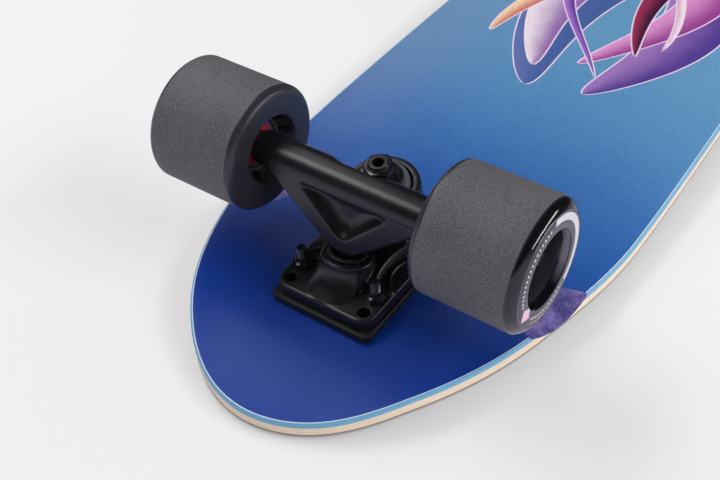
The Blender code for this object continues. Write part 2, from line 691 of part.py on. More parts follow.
def baseplate_mesh():
    flange = evaluated(
        prism(rounded_rectangle(PLATE_X0, PLATE_X1, PLATE_WIDTH / 2, PLATE_CORNER, 4), 0, FLANGE_THICKNESS),
        ("BEVEL", {"width": FLANGE_ROUND, "segments": 1, "limit_method": "ANGLE", "angle_limit": math.radians(60)}),
    )
    # The spine's top is square to the kingpin, so one plane cuts it and the boss
    wide, narrow = spine_outline(SPINE_DRAFT), spine_outline(0.0)
    tall = SEAT_HEIGHT + 12 * MM
    slope = math.tan(KINGPIN_TILT)

    def top(x):
        return SEAT_HEIGHT + (x - KINGPIN_X) * slope

    edge = 0.9 * MM
    rings = [
        [(x, y, 2 * MM) for x, y in wide],
        [(x, y, FLANGE_THICKNESS) for x, y in wide],
        [(x, y, top(x) - edge) for x, y in narrow],
        [(x, y, top(x)) for x, y in spine_outline(-edge)],
    ]
    spine = loft(rings)

    # Pivot housing: a tilted round rim that flares down over the plate's outer edge
    rim_radius = CUP_RADIUS + GAP + HOUSING_WALL
    rim = BALL + CUP_AXIS * CUP_DEPTH
    across = Vector((math.cos(CUP_TILT), 0, -math.sin(CUP_TILT)))
    foot_back = PIVOT_X + rim_radius
    foot_x = (PLATE_X0 + foot_back) / 2
    foot_half = (foot_back - PLATE_X0) / 2 - GAP
    count = 20
    housing_rings = []
    for level, flare in ((1.0, 0.0), (0.6, 0.14), (0.26, 0.48), (0.0, 0.92), (-0.5, 1.0)):
        ring = []
        for i in range(count):
            angle = 2 * math.pi * i / count
            c, s = math.cos(angle), math.sin(angle)
            upper = rim + across * (rim_radius * c) + Vector((0, rim_radius * s, 0))
            # The foot narrows between the two outermost holes and meets the plate's edge broadly
            side = rim_radius if c > -0.2 else min(rim_radius, HOUSING_FOOT)
            lower = Vector((foot_x + foot_half * c, side * s, 0))
            if c < 0:
                lower.x = foot_x - foot_half * abs(c) ** HOUSING_SQUARENESS
                lower.y = math.copysign(side * abs(s) ** HOUSING_SQUARENESS, s)
            height = FLANGE_THICKNESS + (upper.z - FLANGE_THICKNESS) * max(level, 0.0)
            height = min(height, height + FLANGE_THICKNESS * level)
            ring.append((upper.x + (lower.x - upper.x) * flare, upper.y + (lower.y - upper.y) * flare, height))
        housing_rings.append(ring)
    inner = rim + CUP_AXIS * 0.7 * MM
    crown = []
    for i in range(count):
        angle = 2 * math.pi * i / count
        radius = rim_radius - 0.9 * MM
        point = inner + across * (radius * math.cos(angle)) + Vector((0, radius * math.sin(angle), 0))
        crown.append(tuple(point))
    housing = loft([crown] + housing_rings)

    # Raised lips round the side panels, trimmed to the plate's outline
    lips = []
    for side in (-1, 1):
        ring = turned(
            [(LIP_RADIUS - LIP_WIDTH, FLANGE_THICKNESS - 1 * MM), (LIP_RADIUS, FLANGE_THICKNESS - 1 * MM),
             (LIP_RADIUS - 0.3 * MM, FLANGE_THICKNESS + LIP_HEIGHT),
             (LIP_RADIUS - LIP_WIDTH + 0.3 * MM, FLANGE_THICKNESS + LIP_HEIGHT)], 26)
        lips.append(moved(ring, Matrix.Translation((LIP_X, side * LIP_SIDE, 0))))
    keep = prism(
        rounded_rectangle(PLATE_X0 + FLANGE_ROUND, PLATE_X1 - FLANGE_ROUND, PLATE_WIDTH / 2 - FLANGE_ROUND,
                          PLATE_CORNER, 3), 1 * MM, tall)
    lips = [evaluated(lip, ("BOOLEAN", {"operation": "INTERSECT", "tool": keep})) for lip in lips]
    body = union(flange, spine, housing, *lips)

    bore = turned(
        [(0, -PIVOT_BALL_RADIUS - CUP_CLEARANCE - CUP_FLOOR - GAP),
         (CUP_RADIUS + GAP, -PIVOT_BALL_RADIUS - CUP_CLEARANCE - CUP_FLOOR - GAP),
         (CUP_RADIUS + GAP, 30 * MM), (0, 30 * MM)], ROUND_FACETS)
    cup_seat = moved(bore, frame_on(BALL, CUP_AXIS))
    pin_hole = moved(cylinder(KINGPIN_RADIUS + GAP, -40 * MM, 20 * MM, ROUND_FACETS), kingpin_frame())
    pocket = moved(
        prism(hexagon(KINGPIN_HEAD_FLATS + 2 * GAP), -40 * MM, -KINGPIN_GRIP), kingpin_frame())
    tool = cylinder(HOLE_RADIUS, -2 * MM, 40 * MM, SMALL_FACETS)
    holes = [moved(tool, Matrix.Translation((x, side * HOLE_SPREAD / 2, 0))) for x in HOLE_ROWS for side in (-1, 1)]
    return tidy(cut(body, cup_seat, pin_hole, pocket, joined(*holes)))


def pivot_cup_mesh():
    """Rubber cup with a round seat for the pivot's ball, a flared mouth and a small rim."""
    inner = PIVOT_BALL_RADIUS + CUP_CLEARANCE
    floor = -inner - CUP_FLOOR
    mouth = inner + 0.9 * MM
    seat = [(inner * math.sin(math.radians(a)), -inner * math.cos(math.radians(a))) for a in (0, 30, 60, 90)]
    lip = CUP_DEPTH + GAP + 0.7 * MM
    profile = [(0, floor), (CUP_RADIUS, floor), (CUP_RADIUS, lip), (CUP_RADIUS + CUP_LIP_OVERHANG, lip),
               (CUP_RADIUS + CUP_LIP_OVERHANG, lip + CUP_LIP - 0.4 * MM), (CUP_RADIUS + 0.5 * MM, lip + CUP_LIP),
               (mouth, lip + CUP_LIP), (inner, 2.2 * MM)]
    return turned(profile + list(reversed(seat)), ROUND_FACETS, "pivot_cup")


def web_matrix():
    """Web frame: X across the board, Y up the web, Z out of its face, origin at the axle's height."""
    normal = Vector((-math.cos(WEB_LEAN), 0, math.sin(WEB_LEAN)))
    up = Vector((math.sin(WEB_LEAN), 0, math.cos(WEB_LEAN)))
    side = up.cross(normal)
    origin = AXLE + Vector((-WEB_FRONT, 0, 0))
    return Matrix.Translation(origin) @ Matrix((side, up, normal)).transposed().to_4x4()


def hanger_mesh():
    # Round barrel whose front half steps forward over the web, to end in its face
    depth = WEB_HALF_WIDTH / math.tan(WEB_SIDE_ANGLE)
    forward = WEB_FRONT - BARREL_RADIUS / math.cos(WEB_LEAN)
    half = [(WEB_HALF_WIDTH - 3 * MM, BARREL_RADIUS, forward), (WEB_HALF_WIDTH + 3 * MM, BARREL_RADIUS, 0.0),
            (HANGER_END - BARREL_CHAMFER, BARREL_RADIUS, 0.0), (HANGER_END, BARREL_RADIUS - BARREL_CHAMFER, 0.0)]
    rings = []
    for y, radius, shift in [(-y, radius, shift) for y, radius, shift in reversed(half)] + half:
        ring = []
        for i in range(BARREL_FACETS):
            angle = 2 * math.pi * (i + 0.5) / BARREL_FACETS
            x = AXLE_X + radius * math.cos(angle) - (shift if math.cos(angle) < 0 else 0.0)
            ring.append((x, y, AXLE_HEIGHT + radius * math.sin(angle)))
        rings.append(ring)
    barrel = loft(rings)
    corners = [(-WEB_HALF_WIDTH, 0), (0, -depth), (WEB_HALF_WIDTH, 0)]
    plan = rounded_corners(corners, [1 * MM, WEB_TIP_RADIUS, 1 * MM], 6)
    web = evaluated(
        prism(plan, -WEB_THICKNESS, 0),
        ("BEVEL", {"width": WEB_EDGE, "segments": 1, "limit_method": "ANGLE", "angle_limit": math.radians(60)}))
    web = moved(web, web_matrix())

    # Yoke from the web back to the ring, in rounded sections that follow the web's slope
    ring_x = RING_CENTRE.x
    ring_z = RING_CENTRE.z
    back_x = AXLE_X - WEB_FRONT + WEB_THICKNESS - 2 * MM
    sections = (
        (back_x, AXLE_HEIGHT - 11.5 * MM, 17.0 * MM, 9.5 * MM),
        (back_x + (ring_x - back_x) * 0.32, (AXLE_HEIGHT - 12.5 * MM), 16.5 * MM, 9.0 * MM),
        (back_x + (ring_x - back_x) * 0.58, (AXLE_HEIGHT + ring_z) / 2 - 6.5 * MM, 16.5 * MM, 6.0 * MM),
        (ring_x - RING_BORE - 1.5 * MM, ring_z - 0.6 * MM, 15.5 * MM, 4.4 * MM),
    )
    rings = []
    for x, z, half, high in sections:
        ring = []
        for i in range(16):
            angle = 2 * math.pi * (i + 0.5) / 16
            c, s = math.cos(angle), math.sin(angle)
            ring.append((x, half * math.copysign(abs(c) ** 0.5, c), z + high * math.copysign(abs(s) ** 0.6, s)))
        rings.append(ring)
    yoke = loft(rings)
    ring_bottom = RING_FLOOR_S - RING_LOWER_RIM
    ring_top = RING_TOP_S + RING_UPPER_RIM
    ring = moved(cylinder(RING_RADIUS, ring_bottom, ring_top, BARREL_FACETS, 1.0 * MM), kingpin_frame())

    # Pivot: a short neck under the web that ends in a ball
    root = depth - WEB_TIP_RADIUS / math.sin(WEB_SIDE_ANGLE)
    reach = (AXLE_HEIGHT - root - PIVOT_HEIGHT) / math.cos(CUP_TILT)
    neck = []
    for i in range(7):
        angle = math.radians(-90 + 135 * i / 6)
        neck.append((PIVOT_BALL_RADIUS * math.cos(angle), PIVOT_BALL_RADIUS * math.sin(angle)))
    neck[0] = (0, -PIVOT_BALL_RADIUS)
    neck += [(PIVOT_NECK_RADIUS, PIVOT_NECK_LENGTH), (PIVOT_ROOT_RADIUS, PIVOT_ROOT_HEIGHT)]
    neck += [(PIVOT_ROOT_RADIUS, reach), (0, reach)]
    pivot = moved(turned(neck, ROUND_FACETS), frame_on(BALL, CUP_AXIS))
    body = union(barrel, web, yoke, ring, pivot)

    # Triangular pocket in the face, its walls sloping to a smaller floor
    pocket_depth = POCKET_HALF_WIDTH / math.tan(POCKET_SIDE_ANGLE)
    top = -POCKET_TOP
    mouth = rounded_corners(
        [(-POCKET_HALF_WIDTH, top), (0, top - pocket_depth), (POCKET_HALF_WIDTH, top)],
        [1.2 * MM, POCKET_TIP_RADIUS, 1.2 * MM], 5)
    run = POCKET_WALL_RUN
    shrink = run / math.tan((math.pi / 2 - POCKET_SIDE_ANGLE) / 2)
    floor = rounded_corners(
        [(-POCKET_HALF_WIDTH + shrink, top - run * 0.45), (0, top - pocket_depth + run / math.sin(POCKET_SIDE_ANGLE)),
         (POCKET_HALF_WIDTH - shrink, top - run * 0.45)],
        [0.8 * MM, POCKET_TIP_RADIUS * 0.7, 0.8 * MM], 5)
    outside = 3 * MM
    spread = run * outside / POCKET_DEPTH
    mouth_out = [(x * (1 + spread / POCKET_HALF_WIDTH), y + (y - top) * spread / POCKET_HALF_WIDTH + spread * 0.4)
                 for x, y in mouth]
    pocket = moved(
        loft([[(x, y, outside) for x, y in mouth_out], [(x, y, 0) for x, y in mouth],
              [(x, y, -POCKET_DEPTH) for x, y in floor]]), web_matrix())

    # Both bushing seats and the bore between them, as one stepped tool
    above = ROADSIDE_WASHER_S + WASHER_THICKNESS + RIM_CLEARANCE
    upper = ROADSIDE_BUSHING_RADIUS + RIM_CLEARANCE
    lower = BOARDSIDE_BUSHING_RADIUS + RIM_CLEARANCE
    seats = moved(
        turned([(0, -5 * MM), (lower, -5 * MM), (lower, RING_FLOOR_S), (RING_BORE, RING_FLOOR_S),
                (RING_BORE, RING_TOP_S), (upper, RING_TOP_S), (upper, above), (0, above)], BARREL_FACETS),
        kingpin_frame())
    axle_bore = moved(
        cylinder(AXLE_RADIUS + BORE_CLEARANCE, -HANGER_END - 5 * MM, HANGER_END + 5 * MM, AXLE_FACETS),
        Matrix.Translation(AXLE) @ along_y())
    # Relief beside the kingpin nut: a trapezoid along the barrel, facing up and inward
    base = BARREL_RADIUS - RELIEF_DEPTH
    plan = [(-RELIEF_HALF_LENGTH, base), (RELIEF_HALF_LENGTH, base),
            (RELIEF_HALF_LENGTH + RELIEF_RAMP, BARREL_RADIUS + 0.2 * MM), (RELIEF_HALF_LENGTH + RELIEF_RAMP, 14 * MM),
            (-RELIEF_HALF_LENGTH - RELIEF_RAMP, 14 * MM), (-RELIEF_HALF_LENGTH - RELIEF_RAMP, BARREL_RADIUS + 0.2 * MM)]
    facing = Vector((math.cos(RELIEF_ANGLE), 0, math.sin(RELIEF_ANGLE)))
    relief = moved(
        prism(plan, -9 * MM, 9 * MM),
        Matrix.Translation(AXLE)
        @ Matrix((Vector((0, 1, 0)), facing, Vector((0, 1, 0)).cross(facing))).transposed().to_4x4())
    return tidy(cut(body, pocket, seats, axle_bore, relief))


def kingpin_mesh():
    """Hollow pin with a hex head held in the baseplate's pocket; s = 0 on the seat."""
    shank = turned(
        [(0, -KINGPIN_GRIP - 1 * MM), (KINGPIN_RADIUS, -KINGPIN_GRIP - 1 * MM),
         (KINGPIN_RADIUS, KINGPIN_TIP_S - 0.7 * MM), (KINGPIN_RADIUS - 0.7 * MM, KINGPIN_TIP_S), (0, KINGPIN_TIP_S)],
        ROUND_FACETS)
    head = prism(
        hexagon(KINGPIN_HEAD_FLATS), -KINGPIN_GRIP - GAP - KINGPIN_HEAD_HEIGHT, -KINGPIN_GRIP - GAP)
    bore = cylinder(KINGPIN_BORE, -30 * MM, KINGPIN_TIP_S + 5 * MM, SMALL_FACETS)
    return tidy(cut(union(shank, head), bore))


def bushing_mesh(height, radius, neck):
    """Barrel bushing: bulging side, a washer seat at one end and a neck for the ring at the other."""
    bore = KINGPIN_RADIUS + BUSHING_BORE_CLEARANCE
    end = radius - BUSHING_WAIST
    profile = [(bore, 0), (end, 0), (radius, height / 2), (end, height),
               (BUSHING_NECK_RADIUS, height), (BUSHING_NECK_RADIUS, height + neck), (bore, height + neck)]
    return turned(profile, ROUND_FACETS, "bushing")


def washer_mesh(radius):
    bore = KINGPIN_RADIUS + BUSHING_BORE_CLEARANCE
    profile = [(bore, 0), (radius, 0), (radius, WASHER_THICKNESS - WASHER_EDGE),
               (radius - WASHER_EDGE, WASHER_THICKNESS), (bore, WASHER_THICKNESS)]
    return turned(profile, ROUND_FACETS, "washer")


def axle_mesh():
    """Axle through the hanger, with the inner speed washers against the hanger's ends."""
    tip = RACE_END + GAP + SPEED_WASHER + AXLE_NUT_HEX + AXLE_NUT_COLLAR + AXLE_PROUD
    start = HANGER_END + GAP
    half = [(AXLE_RADIUS, start), (SPEED_WASHER_RADIUS, start), (SPEED_WASHER_RADIUS, start + SPEED_WASHER),
            (AXLE_RADIUS, start + SPEED_WASHER), (AXLE_RADIUS, tip - 0.8 * MM), (AXLE_RADIUS - 0.8 * MM, tip), (0, tip)]
    return turned([(r, -z) for r, z in reversed(half)] + half, AXLE_FACETS, "axle")


def wheel_mesh():
    """Wheel turned round Y, y = 0 on its inner face: tread, rounded lips, side faces, core mouths and
    the two bearing seats with the shoulder between them."""
    seat = BEARING_RADIUS + GAP
    first = RACE_START - HANGER_END + WHEEL_INNER_OFFSET
    second = first + BEARING_WIDTH + BEARING_SPACING
    last = second + BEARING_WIDTH

    def lip(face, depth):
        rise = WHEEL_RADIUS - LIP_FACE_RADIUS
        angles = [math.radians(angle) for angle in (0, 45, 90)]
        return [(LIP_FACE_RADIUS + rise * math.sin(a), face + depth * (1 - math.cos(a))) for a in angles]

    profile = [(CORE_MOUTH_RADIUS, 0.0)] + lip(0.0, PATCH_INSET_INNER)
    profile += list(reversed(lip(WHEEL_WIDTH, -PATCH_INSET_OUTER))) + [(CORE_MOUTH_RADIUS, WHEEL_WIDTH)]
    profile += [(seat, last), (seat, second - GAP)]
    profile += [(CORE_SHOULDER_RADIUS, second - GAP), (CORE_SHOULDER_RADIUS, first + BEARING_WIDTH + GAP)]
    profile += [(seat, first + BEARING_WIDTH + GAP), (seat, first)]
    return moved(turned(profile, WHEEL_FACETS, "wheel"), along_y())


def bearing_mesh():
    """Outer race and shields; y = 0 on the face nearest the hanger."""
    inner = INNER_RACE_RADIUS + GAP
    profile = [(inner, SHIELD_RECESS), (BEARING_RADIUS - OUTER_RACE, 0), (BEARING_RADIUS, 0),
               (BEARING_RADIUS, BEARING_WIDTH), (inner, BEARING_WIDTH)]
    return moved(turned(profile, ROUND_FACETS, "bearing"), along_y())


def spacer_mesh():
    """Both inner races and the spacer between them, on the axle; y = 0 on the inboard end."""
    bore = AXLE_RADIUS + BORE_CLEARANCE
    race, gap = BEARING_WIDTH, BEARING_SPACING
    profile = [(bore, 0), (INNER_RACE_RADIUS, 0), (INNER_RACE_RADIUS, race), (SPACER_RADIUS, race),
               (SPACER_RADIUS, race + gap), (INNER_RACE_RADIUS, race + gap), (INNER_RACE_RADIUS, 2 * race + gap),
               (bore, 2 * race + gap)]
    return moved(turned(profile, AXLE_FACETS, "spacer"), along_y())


def truck_meshes():
    """Each piece of a truck once; both trucks share them."""
    kingpin_nut = lock_nut(KINGPIN_NUT_FLATS, KINGPIN_NUT_HEX, KINGPIN_NUT_COLLAR, KINGPIN_RADIUS + GAP,
                           ROUND_FACETS)
    axle_nut = lock_nut(AXLE_NUT_FLATS, AXLE_NUT_HEX, AXLE_NUT_COLLAR, AXLE_RADIUS + GAP, AXLE_FACETS,
                        SPEED_WASHER, SPEED_WASHER_RADIUS)
    neck = RING_WEB / 2 - GAP / 2 + GAP
    return {
        "riser": riser_mesh(),
        "baseplate": baseplate_mesh(),
        "pivot_cup": pivot_cup_mesh(),
        "hanger": hanger_mesh(),
        "axle": axle_mesh(),
        "kingpin": kingpin_mesh(),
        "kingpin_nut": kingpin_nut,
        "boardside_bushing": bushing_mesh(BOARDSIDE_BUSHING_HEIGHT, BOARDSIDE_BUSHING_RADIUS, neck),
        "roadside_bushing": bushing_mesh(ROADSIDE_BUSHING_HEIGHT, ROADSIDE_BUSHING_RADIUS, neck),
        "boardside_washer": washer_mesh(BOARDSIDE_WASHER_RADIUS),
        "roadside_washer": washer_mesh(ROADSIDE_WASHER_RADIUS),
        "bolt": bolt_mesh(),
        "nut": plain_nut_mesh(),
        "axle_nut": moved(axle_nut, along_y()),
        "wheel": wheel_mesh(),
        "bearing": bearing_mesh(),
        "spacer": spacer_mesh(),
    }


def build_truck(label, meshes, root, row_x, turned_round):
    spin = Matrix.Rotation(math.pi if turned_round else 0, 4, "Z")
    base = empty(f"{label}_truck", root, Matrix.Translation((row_x, 0, TRUCK_Z)) @ spin)
    place(f"{label}_riser_pad", meshes["riser"], "riser", base)
    place(f"{label}_baseplate", meshes["baseplate"], "cast", base)
    place(f"{label}_pivot_cup", meshes["pivot_cup"], "rubber", base, frame_on(BALL, CUP_AXIS))
    place(f"{label}_kingpin", meshes["kingpin"], "steel_black", base, kingpin_frame())
    place(f"{label}_boardside_washer", meshes["boardside_washer"], "steel_black", base,
          kingpin_frame(BOARDSIDE_WASHER_S))
    place(f"{label}_boardside_bushing", meshes["boardside_bushing"], "bushing", base,
          kingpin_frame(BOARDSIDE_BUSHING_S))
    flip = Matrix.Rotation(math.pi, 4, "X")
    place(f"{label}_roadside_bushing", meshes["roadside_bushing"], "bushing", base,
          kingpin_frame(ROADSIDE_BUSHING_S + ROADSIDE_BUSHING_HEIGHT) @ flip)
    place(f"{label}_roadside_washer", meshes["roadside_washer"], "steel_black", base,
          kingpin_frame(ROADSIDE_WASHER_S))
    place(f"{label}_kingpin_nut", meshes["kingpin_nut"], "steel_black", base, kingpin_frame(KINGPIN_NUT_S))
    number = 0
    for row in BOLT_ROWS:
        for side in (1, -1):
            number += 1
            y = side * HOLE_SPREAD / 2
            place(f"{label}_mounting_bolt_{number}", meshes["bolt"], "steel_black", base,
                  Matrix.Translation((row, y, 0)))
            place(f"{label}_mounting_nut_{number}", meshes["nut"], "steel_black", base,
                  Matrix.Translation((row, y, FLANGE_THICKNESS + GAP)))

    # Everything the steering axis carries hangs from an empty on the pivot's ball
    pivot = frame_on(BALL, STEER_AXIS)
    steer = empty(f"{label}_steer", base, pivot)
    place(f"{label}_hanger", meshes["hanger"], "cast", steer, pivot.inverted())
    to_axle = pivot.inverted() @ Matrix.Translation(AXLE)
    place(f"{label}_axle", meshes["axle"], "steel", steer, to_axle @ along_y())
    sides = ("right", "left") if turned_round else ("left", "right")
    for side, turn in zip(sides, (0, math.pi)):
        outward = to_axle @ Matrix.Rotation(turn, 4, "Z")
        place(f"{label}_spacer_{side}", meshes["spacer"], "steel", steer,
              outward @ Matrix.Translation((0, RACE_START, 0)))
        place(f"{label}_axle_nut_{side}", meshes["axle_nut"], "steel", steer,
              outward @ Matrix.Translation((0, RACE_END + GAP, 0)))
        face = HANGER_END - WHEEL_INNER_OFFSET
        centre = face + WHEEL_WIDTH / 2
        hub = empty(f"{label}_{side}_spin", steer, outward @ Matrix.Translation((0, centre, 0)))
        place(f"{label}_wheel_{side}", meshes["wheel"], "urethane", hub, Matrix.Translation((0, face - centre, 0)))
        place(f"{label}_bearing_{side}_inner", meshes["bearing"], "shield", hub,
              Matrix.Translation((0, RACE_START - centre, 0)))
        place(f"{label}_bearing_{side}_outer", meshes["bearing"], "shield", hub,
              Matrix.Translation((0, RACE_START + BEARING_WIDTH + BEARING_SPACING - centre, 0)))


def resting_matrix():
    """Pitch the upturned board onto nose and tail tip, with the origin under its middle."""
    under = -DECK_THICKNESS - GAP - GRIP_THICKNESS
    grip = inset_rows(GRIP_INSET) + [(NOSE_X + GRIP_INSET, 0.0), (TAIL_X - GRIP_INSET, 0.0)]
    outline = [bend(x, y, under) for x, y in grip]
    middle = (FRONT_ROW_X + REAR_ROW_X) / 2
    tail = min((point for point in outline if point.x > middle), key=lambda point: point.z)
    slopes = [(point.z - tail.z) / (tail.x - point.x) for point in outline if point.x < middle]
    pitch = Matrix.Rotation(-math.atan(min(slopes)), 4, "Y")
    settled = [pitch @ point for point in outline]
    low = min(point.z for point in settled)
    rail = (-EDGE_ROUND, EDGE_CHAMFER - DECK_THICKNESS)
    tips = [(pitch @ bend(x, 0, z)).x for x in (NOSE_X, TAIL_X) for z in rail]
    return Matrix.Translation((-(min(tips) + max(tips)) / 2, 0, -low)) @ pitch


def main():
    clear_scene()
    root = empty("board", None, resting_matrix())
    build_deck(root)
    build_grip(root)
    meshes = truck_meshes()
    build_truck("front", meshes, root, FRONT_ROW_X, False)
    build_truck("rear", meshes, root, REAR_ROW_X, True)


main()
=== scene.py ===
import json
import math

import bmesh
import bpy
from mathutils import Matrix, Vector


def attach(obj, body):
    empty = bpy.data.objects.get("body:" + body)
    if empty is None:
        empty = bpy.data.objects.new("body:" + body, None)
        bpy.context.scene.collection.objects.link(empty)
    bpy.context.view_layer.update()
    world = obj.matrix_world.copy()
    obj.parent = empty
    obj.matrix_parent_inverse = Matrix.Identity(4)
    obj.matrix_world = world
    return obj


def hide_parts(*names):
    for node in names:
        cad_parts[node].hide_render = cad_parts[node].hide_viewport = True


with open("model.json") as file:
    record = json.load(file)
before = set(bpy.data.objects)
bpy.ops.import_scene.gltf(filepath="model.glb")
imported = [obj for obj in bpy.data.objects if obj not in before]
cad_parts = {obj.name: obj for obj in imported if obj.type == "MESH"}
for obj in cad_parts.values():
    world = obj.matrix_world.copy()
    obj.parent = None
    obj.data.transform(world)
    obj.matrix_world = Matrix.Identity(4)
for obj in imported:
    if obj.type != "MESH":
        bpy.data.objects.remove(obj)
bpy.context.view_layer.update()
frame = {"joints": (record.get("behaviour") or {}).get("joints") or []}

# Lengths are in millimetres and become metres where a mesh or a matrix is made. The board lies upside
# down and a little pitched. Its own frame has X from nose to tail and z = 0 on the printed face; a
# truck's frame has x inward from the outermost holes and z = 0 under the baseplate.
MM = 0.001
FRONT_ROW_X = -297.2
REAR_ROW_X = 223.8
TRUCK_Z = 4.8
AXLE = Vector((26.4, 0, 52.6))


def at(x=0.0, y=0.0, z=0.0):
    return Matrix.Translation((x * MM, y * MM, z * MM))


hubs = {joint["name"]: Vector(joint["pos_m"]) for joint in frame["joints"]}
front_hub = hubs["front_left_spin"]
rear_hub = hubs["rear_left_spin"]
pitch = math.atan2(rear_hub.z - front_hub.z, rear_hub.x - front_hub.x)
BOARD = (Matrix.Translation((front_hub.x, 0, front_hub.z)) @ Matrix.Rotation(-pitch, 4, "Y")
         @ at(-FRONT_ROW_X - AXLE.x, 0, -TRUCK_Z - AXLE.z))
TRUCKS = {
    "front": BOARD @ at(FRONT_ROW_X, 0, TRUCK_Z),
    "rear": BOARD @ at(REAR_ROW_X, 0, TRUCK_Z) @ Matrix.Rotation(math.pi, 4, "Z"),
}


# Deck. Seven cross-laid maple plies pressed in one mould, so the sides curve, the tail kicks and the
# nose dips. The print sits under lacquer; below it the rail is rounded and shows the plies in bands.
DECK_LENGTH = 724
DECK_WIDTH = 195.5
DECK_THICKNESS = 9.3
NOSE_TAPER = 201
NOSE_CURVE = 185
TAIL_ROUND = 105
TAIL_NARROWING = 24
EDGE_ROUND = 1.3
EDGE_CHAMFER = 0.9
LEVEL_STRIP = 30
CONCAVE = 5.6
KICK_RADIUS = 120
KICK_ANGLE = math.radians(20)
NOSE_X = -DECK_LENGTH / 2
TAIL_X = DECK_LENGTH / 2 - 0.2
KICK_X = REAR_ROW_X + 14
WELL_RADIUS = 37.3
WELL_DEPTH = 7.4
WELL_REACH = 31
WELL_X = AXLE.x + 28
FLOOR_GAP = 0.05
UPPER, RAIL, LOWER, WELL = range(4)


def ease(value):
    value = min(1.0, max(0.0, value))
    return value * value * (3 - 2 * value)


def half_width(x):
    """Half of the blank's width at a station."""
    widest = NOSE_X + NOSE_TAPER
    half = DECK_WIDTH / 2
    if x < widest:
        share = min(1.0, (widest - x) / NOSE_TAPER)
        return half * max(0.0, 1 - share ** 2.39) ** (1 / 1.94)
    half -= TAIL_NARROWING * ((x - widest) / (TAIL_X - widest)) ** 1.5
    if x > TAIL_X - TAIL_ROUND:
        share = min(1.0, (x - TAIL_X + TAIL_ROUND) / TAIL_ROUND)
        half *= max(0.0, 1 - share ** 2.5) ** (1 / 2.1)
    return half


def rail_height(x):
    """Height of the printed face at the rail: dip at the tip, crest, shoulder, then concave."""
    knots = ((NOSE_X, -3.0), (NOSE_X + 45, 3.6), (NOSE_X + 105, 1.9), (NOSE_X + NOSE_CURVE, -CONCAVE),
             (KICK_X - 120, -CONCAVE), (KICK_X, 0.0))
    for (x0, z0), (x1, z1) in zip(knots, knots[1:]):
        if x <= x1:
            return z0 + (z1 - z0) * ease((x - x0) / (x1 - x0))
    return 0.0


def pressed(x, y, z):
    """A point of the flat blank, moved to where the mould presses it."""
    middle = -3.0 * ease((NOSE_X + 45 - x) / 45)
    half = max(half_width(x), 1.0)
    strip = min(LEVEL_STRIP, 0.5 * half)
    side = min(1.0, max(0.0, abs(y) - strip) / (half - strip))
    z += middle + (rail_height(x) - middle) * side * side
    if x <= KICK_X:
        return Vector((x, y, z))
    angle = min((x - KICK_X) / KICK_RADIUS, KICK_ANGLE)
    rest = x - KICK_X - angle * KICK_RADIUS
    out = (KICK_RADIUS + z) * math.sin(angle) + rest * math.cos(angle)
    down = (KICK_RADIUS + z) * math.cos(angle) - KICK_RADIUS - rest * math.sin(angle)
    return Vector((KICK_X + out, y, down))


def cross_rows(inset):
    """Stations along the blank with the half width there, moved in square to the rail."""
    nose, middle, tail = 44, 60, 36
    full_x = NOSE_X + NOSE_CURVE
    rows = [NOSE_X + NOSE_CURVE * (1 - math.cos(math.pi / 2 * i / nose)) for i in range(1, nose + 1)]
    rows += [full_x + (KICK_X - full_x) * i / middle for i in range(1, middle + 1)]
    rows += [TAIL_X - (TAIL_X - KICK_X) * (1 - math.cos(math.pi / 2 * i / tail)) for i in range(tail - 1, 0, -1)]
    step = 0.02
    found = []
    for x in rows:
        slope = (half_width(x + step) - half_width(x - step)) / (2 * step)
        length = math.hypot(1, slope)
        found.append((x + slope / length * inset, half_width(x) - inset / length))
    return found


def skin(points, faces):
    """Closed mesh through points in millimetres, with its faces turned outward."""
    mesh = bpy.data.meshes.new("skin")
    mesh.from_pydata([(x * MM, y * MM, z * MM) for x, y, z in points], [], faces)
    bm = bmesh.new()
    bm.from_mesh(mesh)
    bmesh.ops.recalc_face_normals(bm, faces=bm.faces[:])
    bm.to_mesh(mesh)
    bm.free()
    return mesh


def pressed_board(rims, columns=26):
    """Closed sheet of the board's outline. rims are (inset, height) pairs from the upper face over the
    rail to the lower face. UV map "blank" holds the place on the flat blank, "rail" the depth."""
    points = []
    flat = []
    faces = []
    kinds = []

    def point(x, y, z):
        spot = BOARD @ (pressed(x, y, z) * MM)
        spot.z = max(spot.z, FLOOR_GAP * MM)
        points.append(spot / MM)
        flat.append((x, y, -z))
        return len(points) - 1

    loops = []
    for inset, height in rims:
        rows = cross_rows(inset)
        left = [point(x, half, height) for x, half in rows]
        right = [point(x, -half, height) for x, half in rows]
        loops.append((point(NOSE_X + inset, 0, height), left, point(TAIL_X - inset, 0, height), right))
    edges = [[nose, *left, tail, *reversed(right)] for nose, left, tail, right in loops]
    for upper, lower in zip(edges, edges[1:]):
        for i in range(len(upper)):
            j = (i + 1) % len(upper)
            faces.append((upper[i], upper[j], lower[j], lower[i]))
            kinds.append(RAIL)
    for number, kind in ((0, UPPER), (-1, LOWER)):
        inset, height = rims[number]
        nose, left, tail, right = loops[number]
        bands = []
        for (x, half), port, starboard in zip(cross_rows(inset), left, right):
            inner = [point(x, half * (1 - 2 * i / columns), height) for i in range(1, columns)]
            bands.append([port, *inner, starboard])
        before = len(faces)
        for row, following in zip(bands, bands[1:]):
            faces += [(row[i], row[i + 1], following[i + 1], following[i]) for i in range(columns)]
        for tip, row in ((nose, bands[0]), (tail, bands[-1])):
            faces += [(tip, one, other) for one, other in zip(row, row[1:])]
        kinds += [kind] * (len(faces) - before)
    mesh = skin(points, faces)
    mesh.polygons.foreach_set("material_index", kinds)
    blank = mesh.uv_layers.new(name="blank")
    rail = mesh.uv_layers.new(name="rail")
    for loop in mesh.loops:
        x, y, depth = flat[loop.vertex_index]
        blank.data[loop.index].uv = (x * MM, y * MM)
        rail.data[loop.index].uv = (math.atan2(y, x) * 0.3, depth * MM)
    return mesh


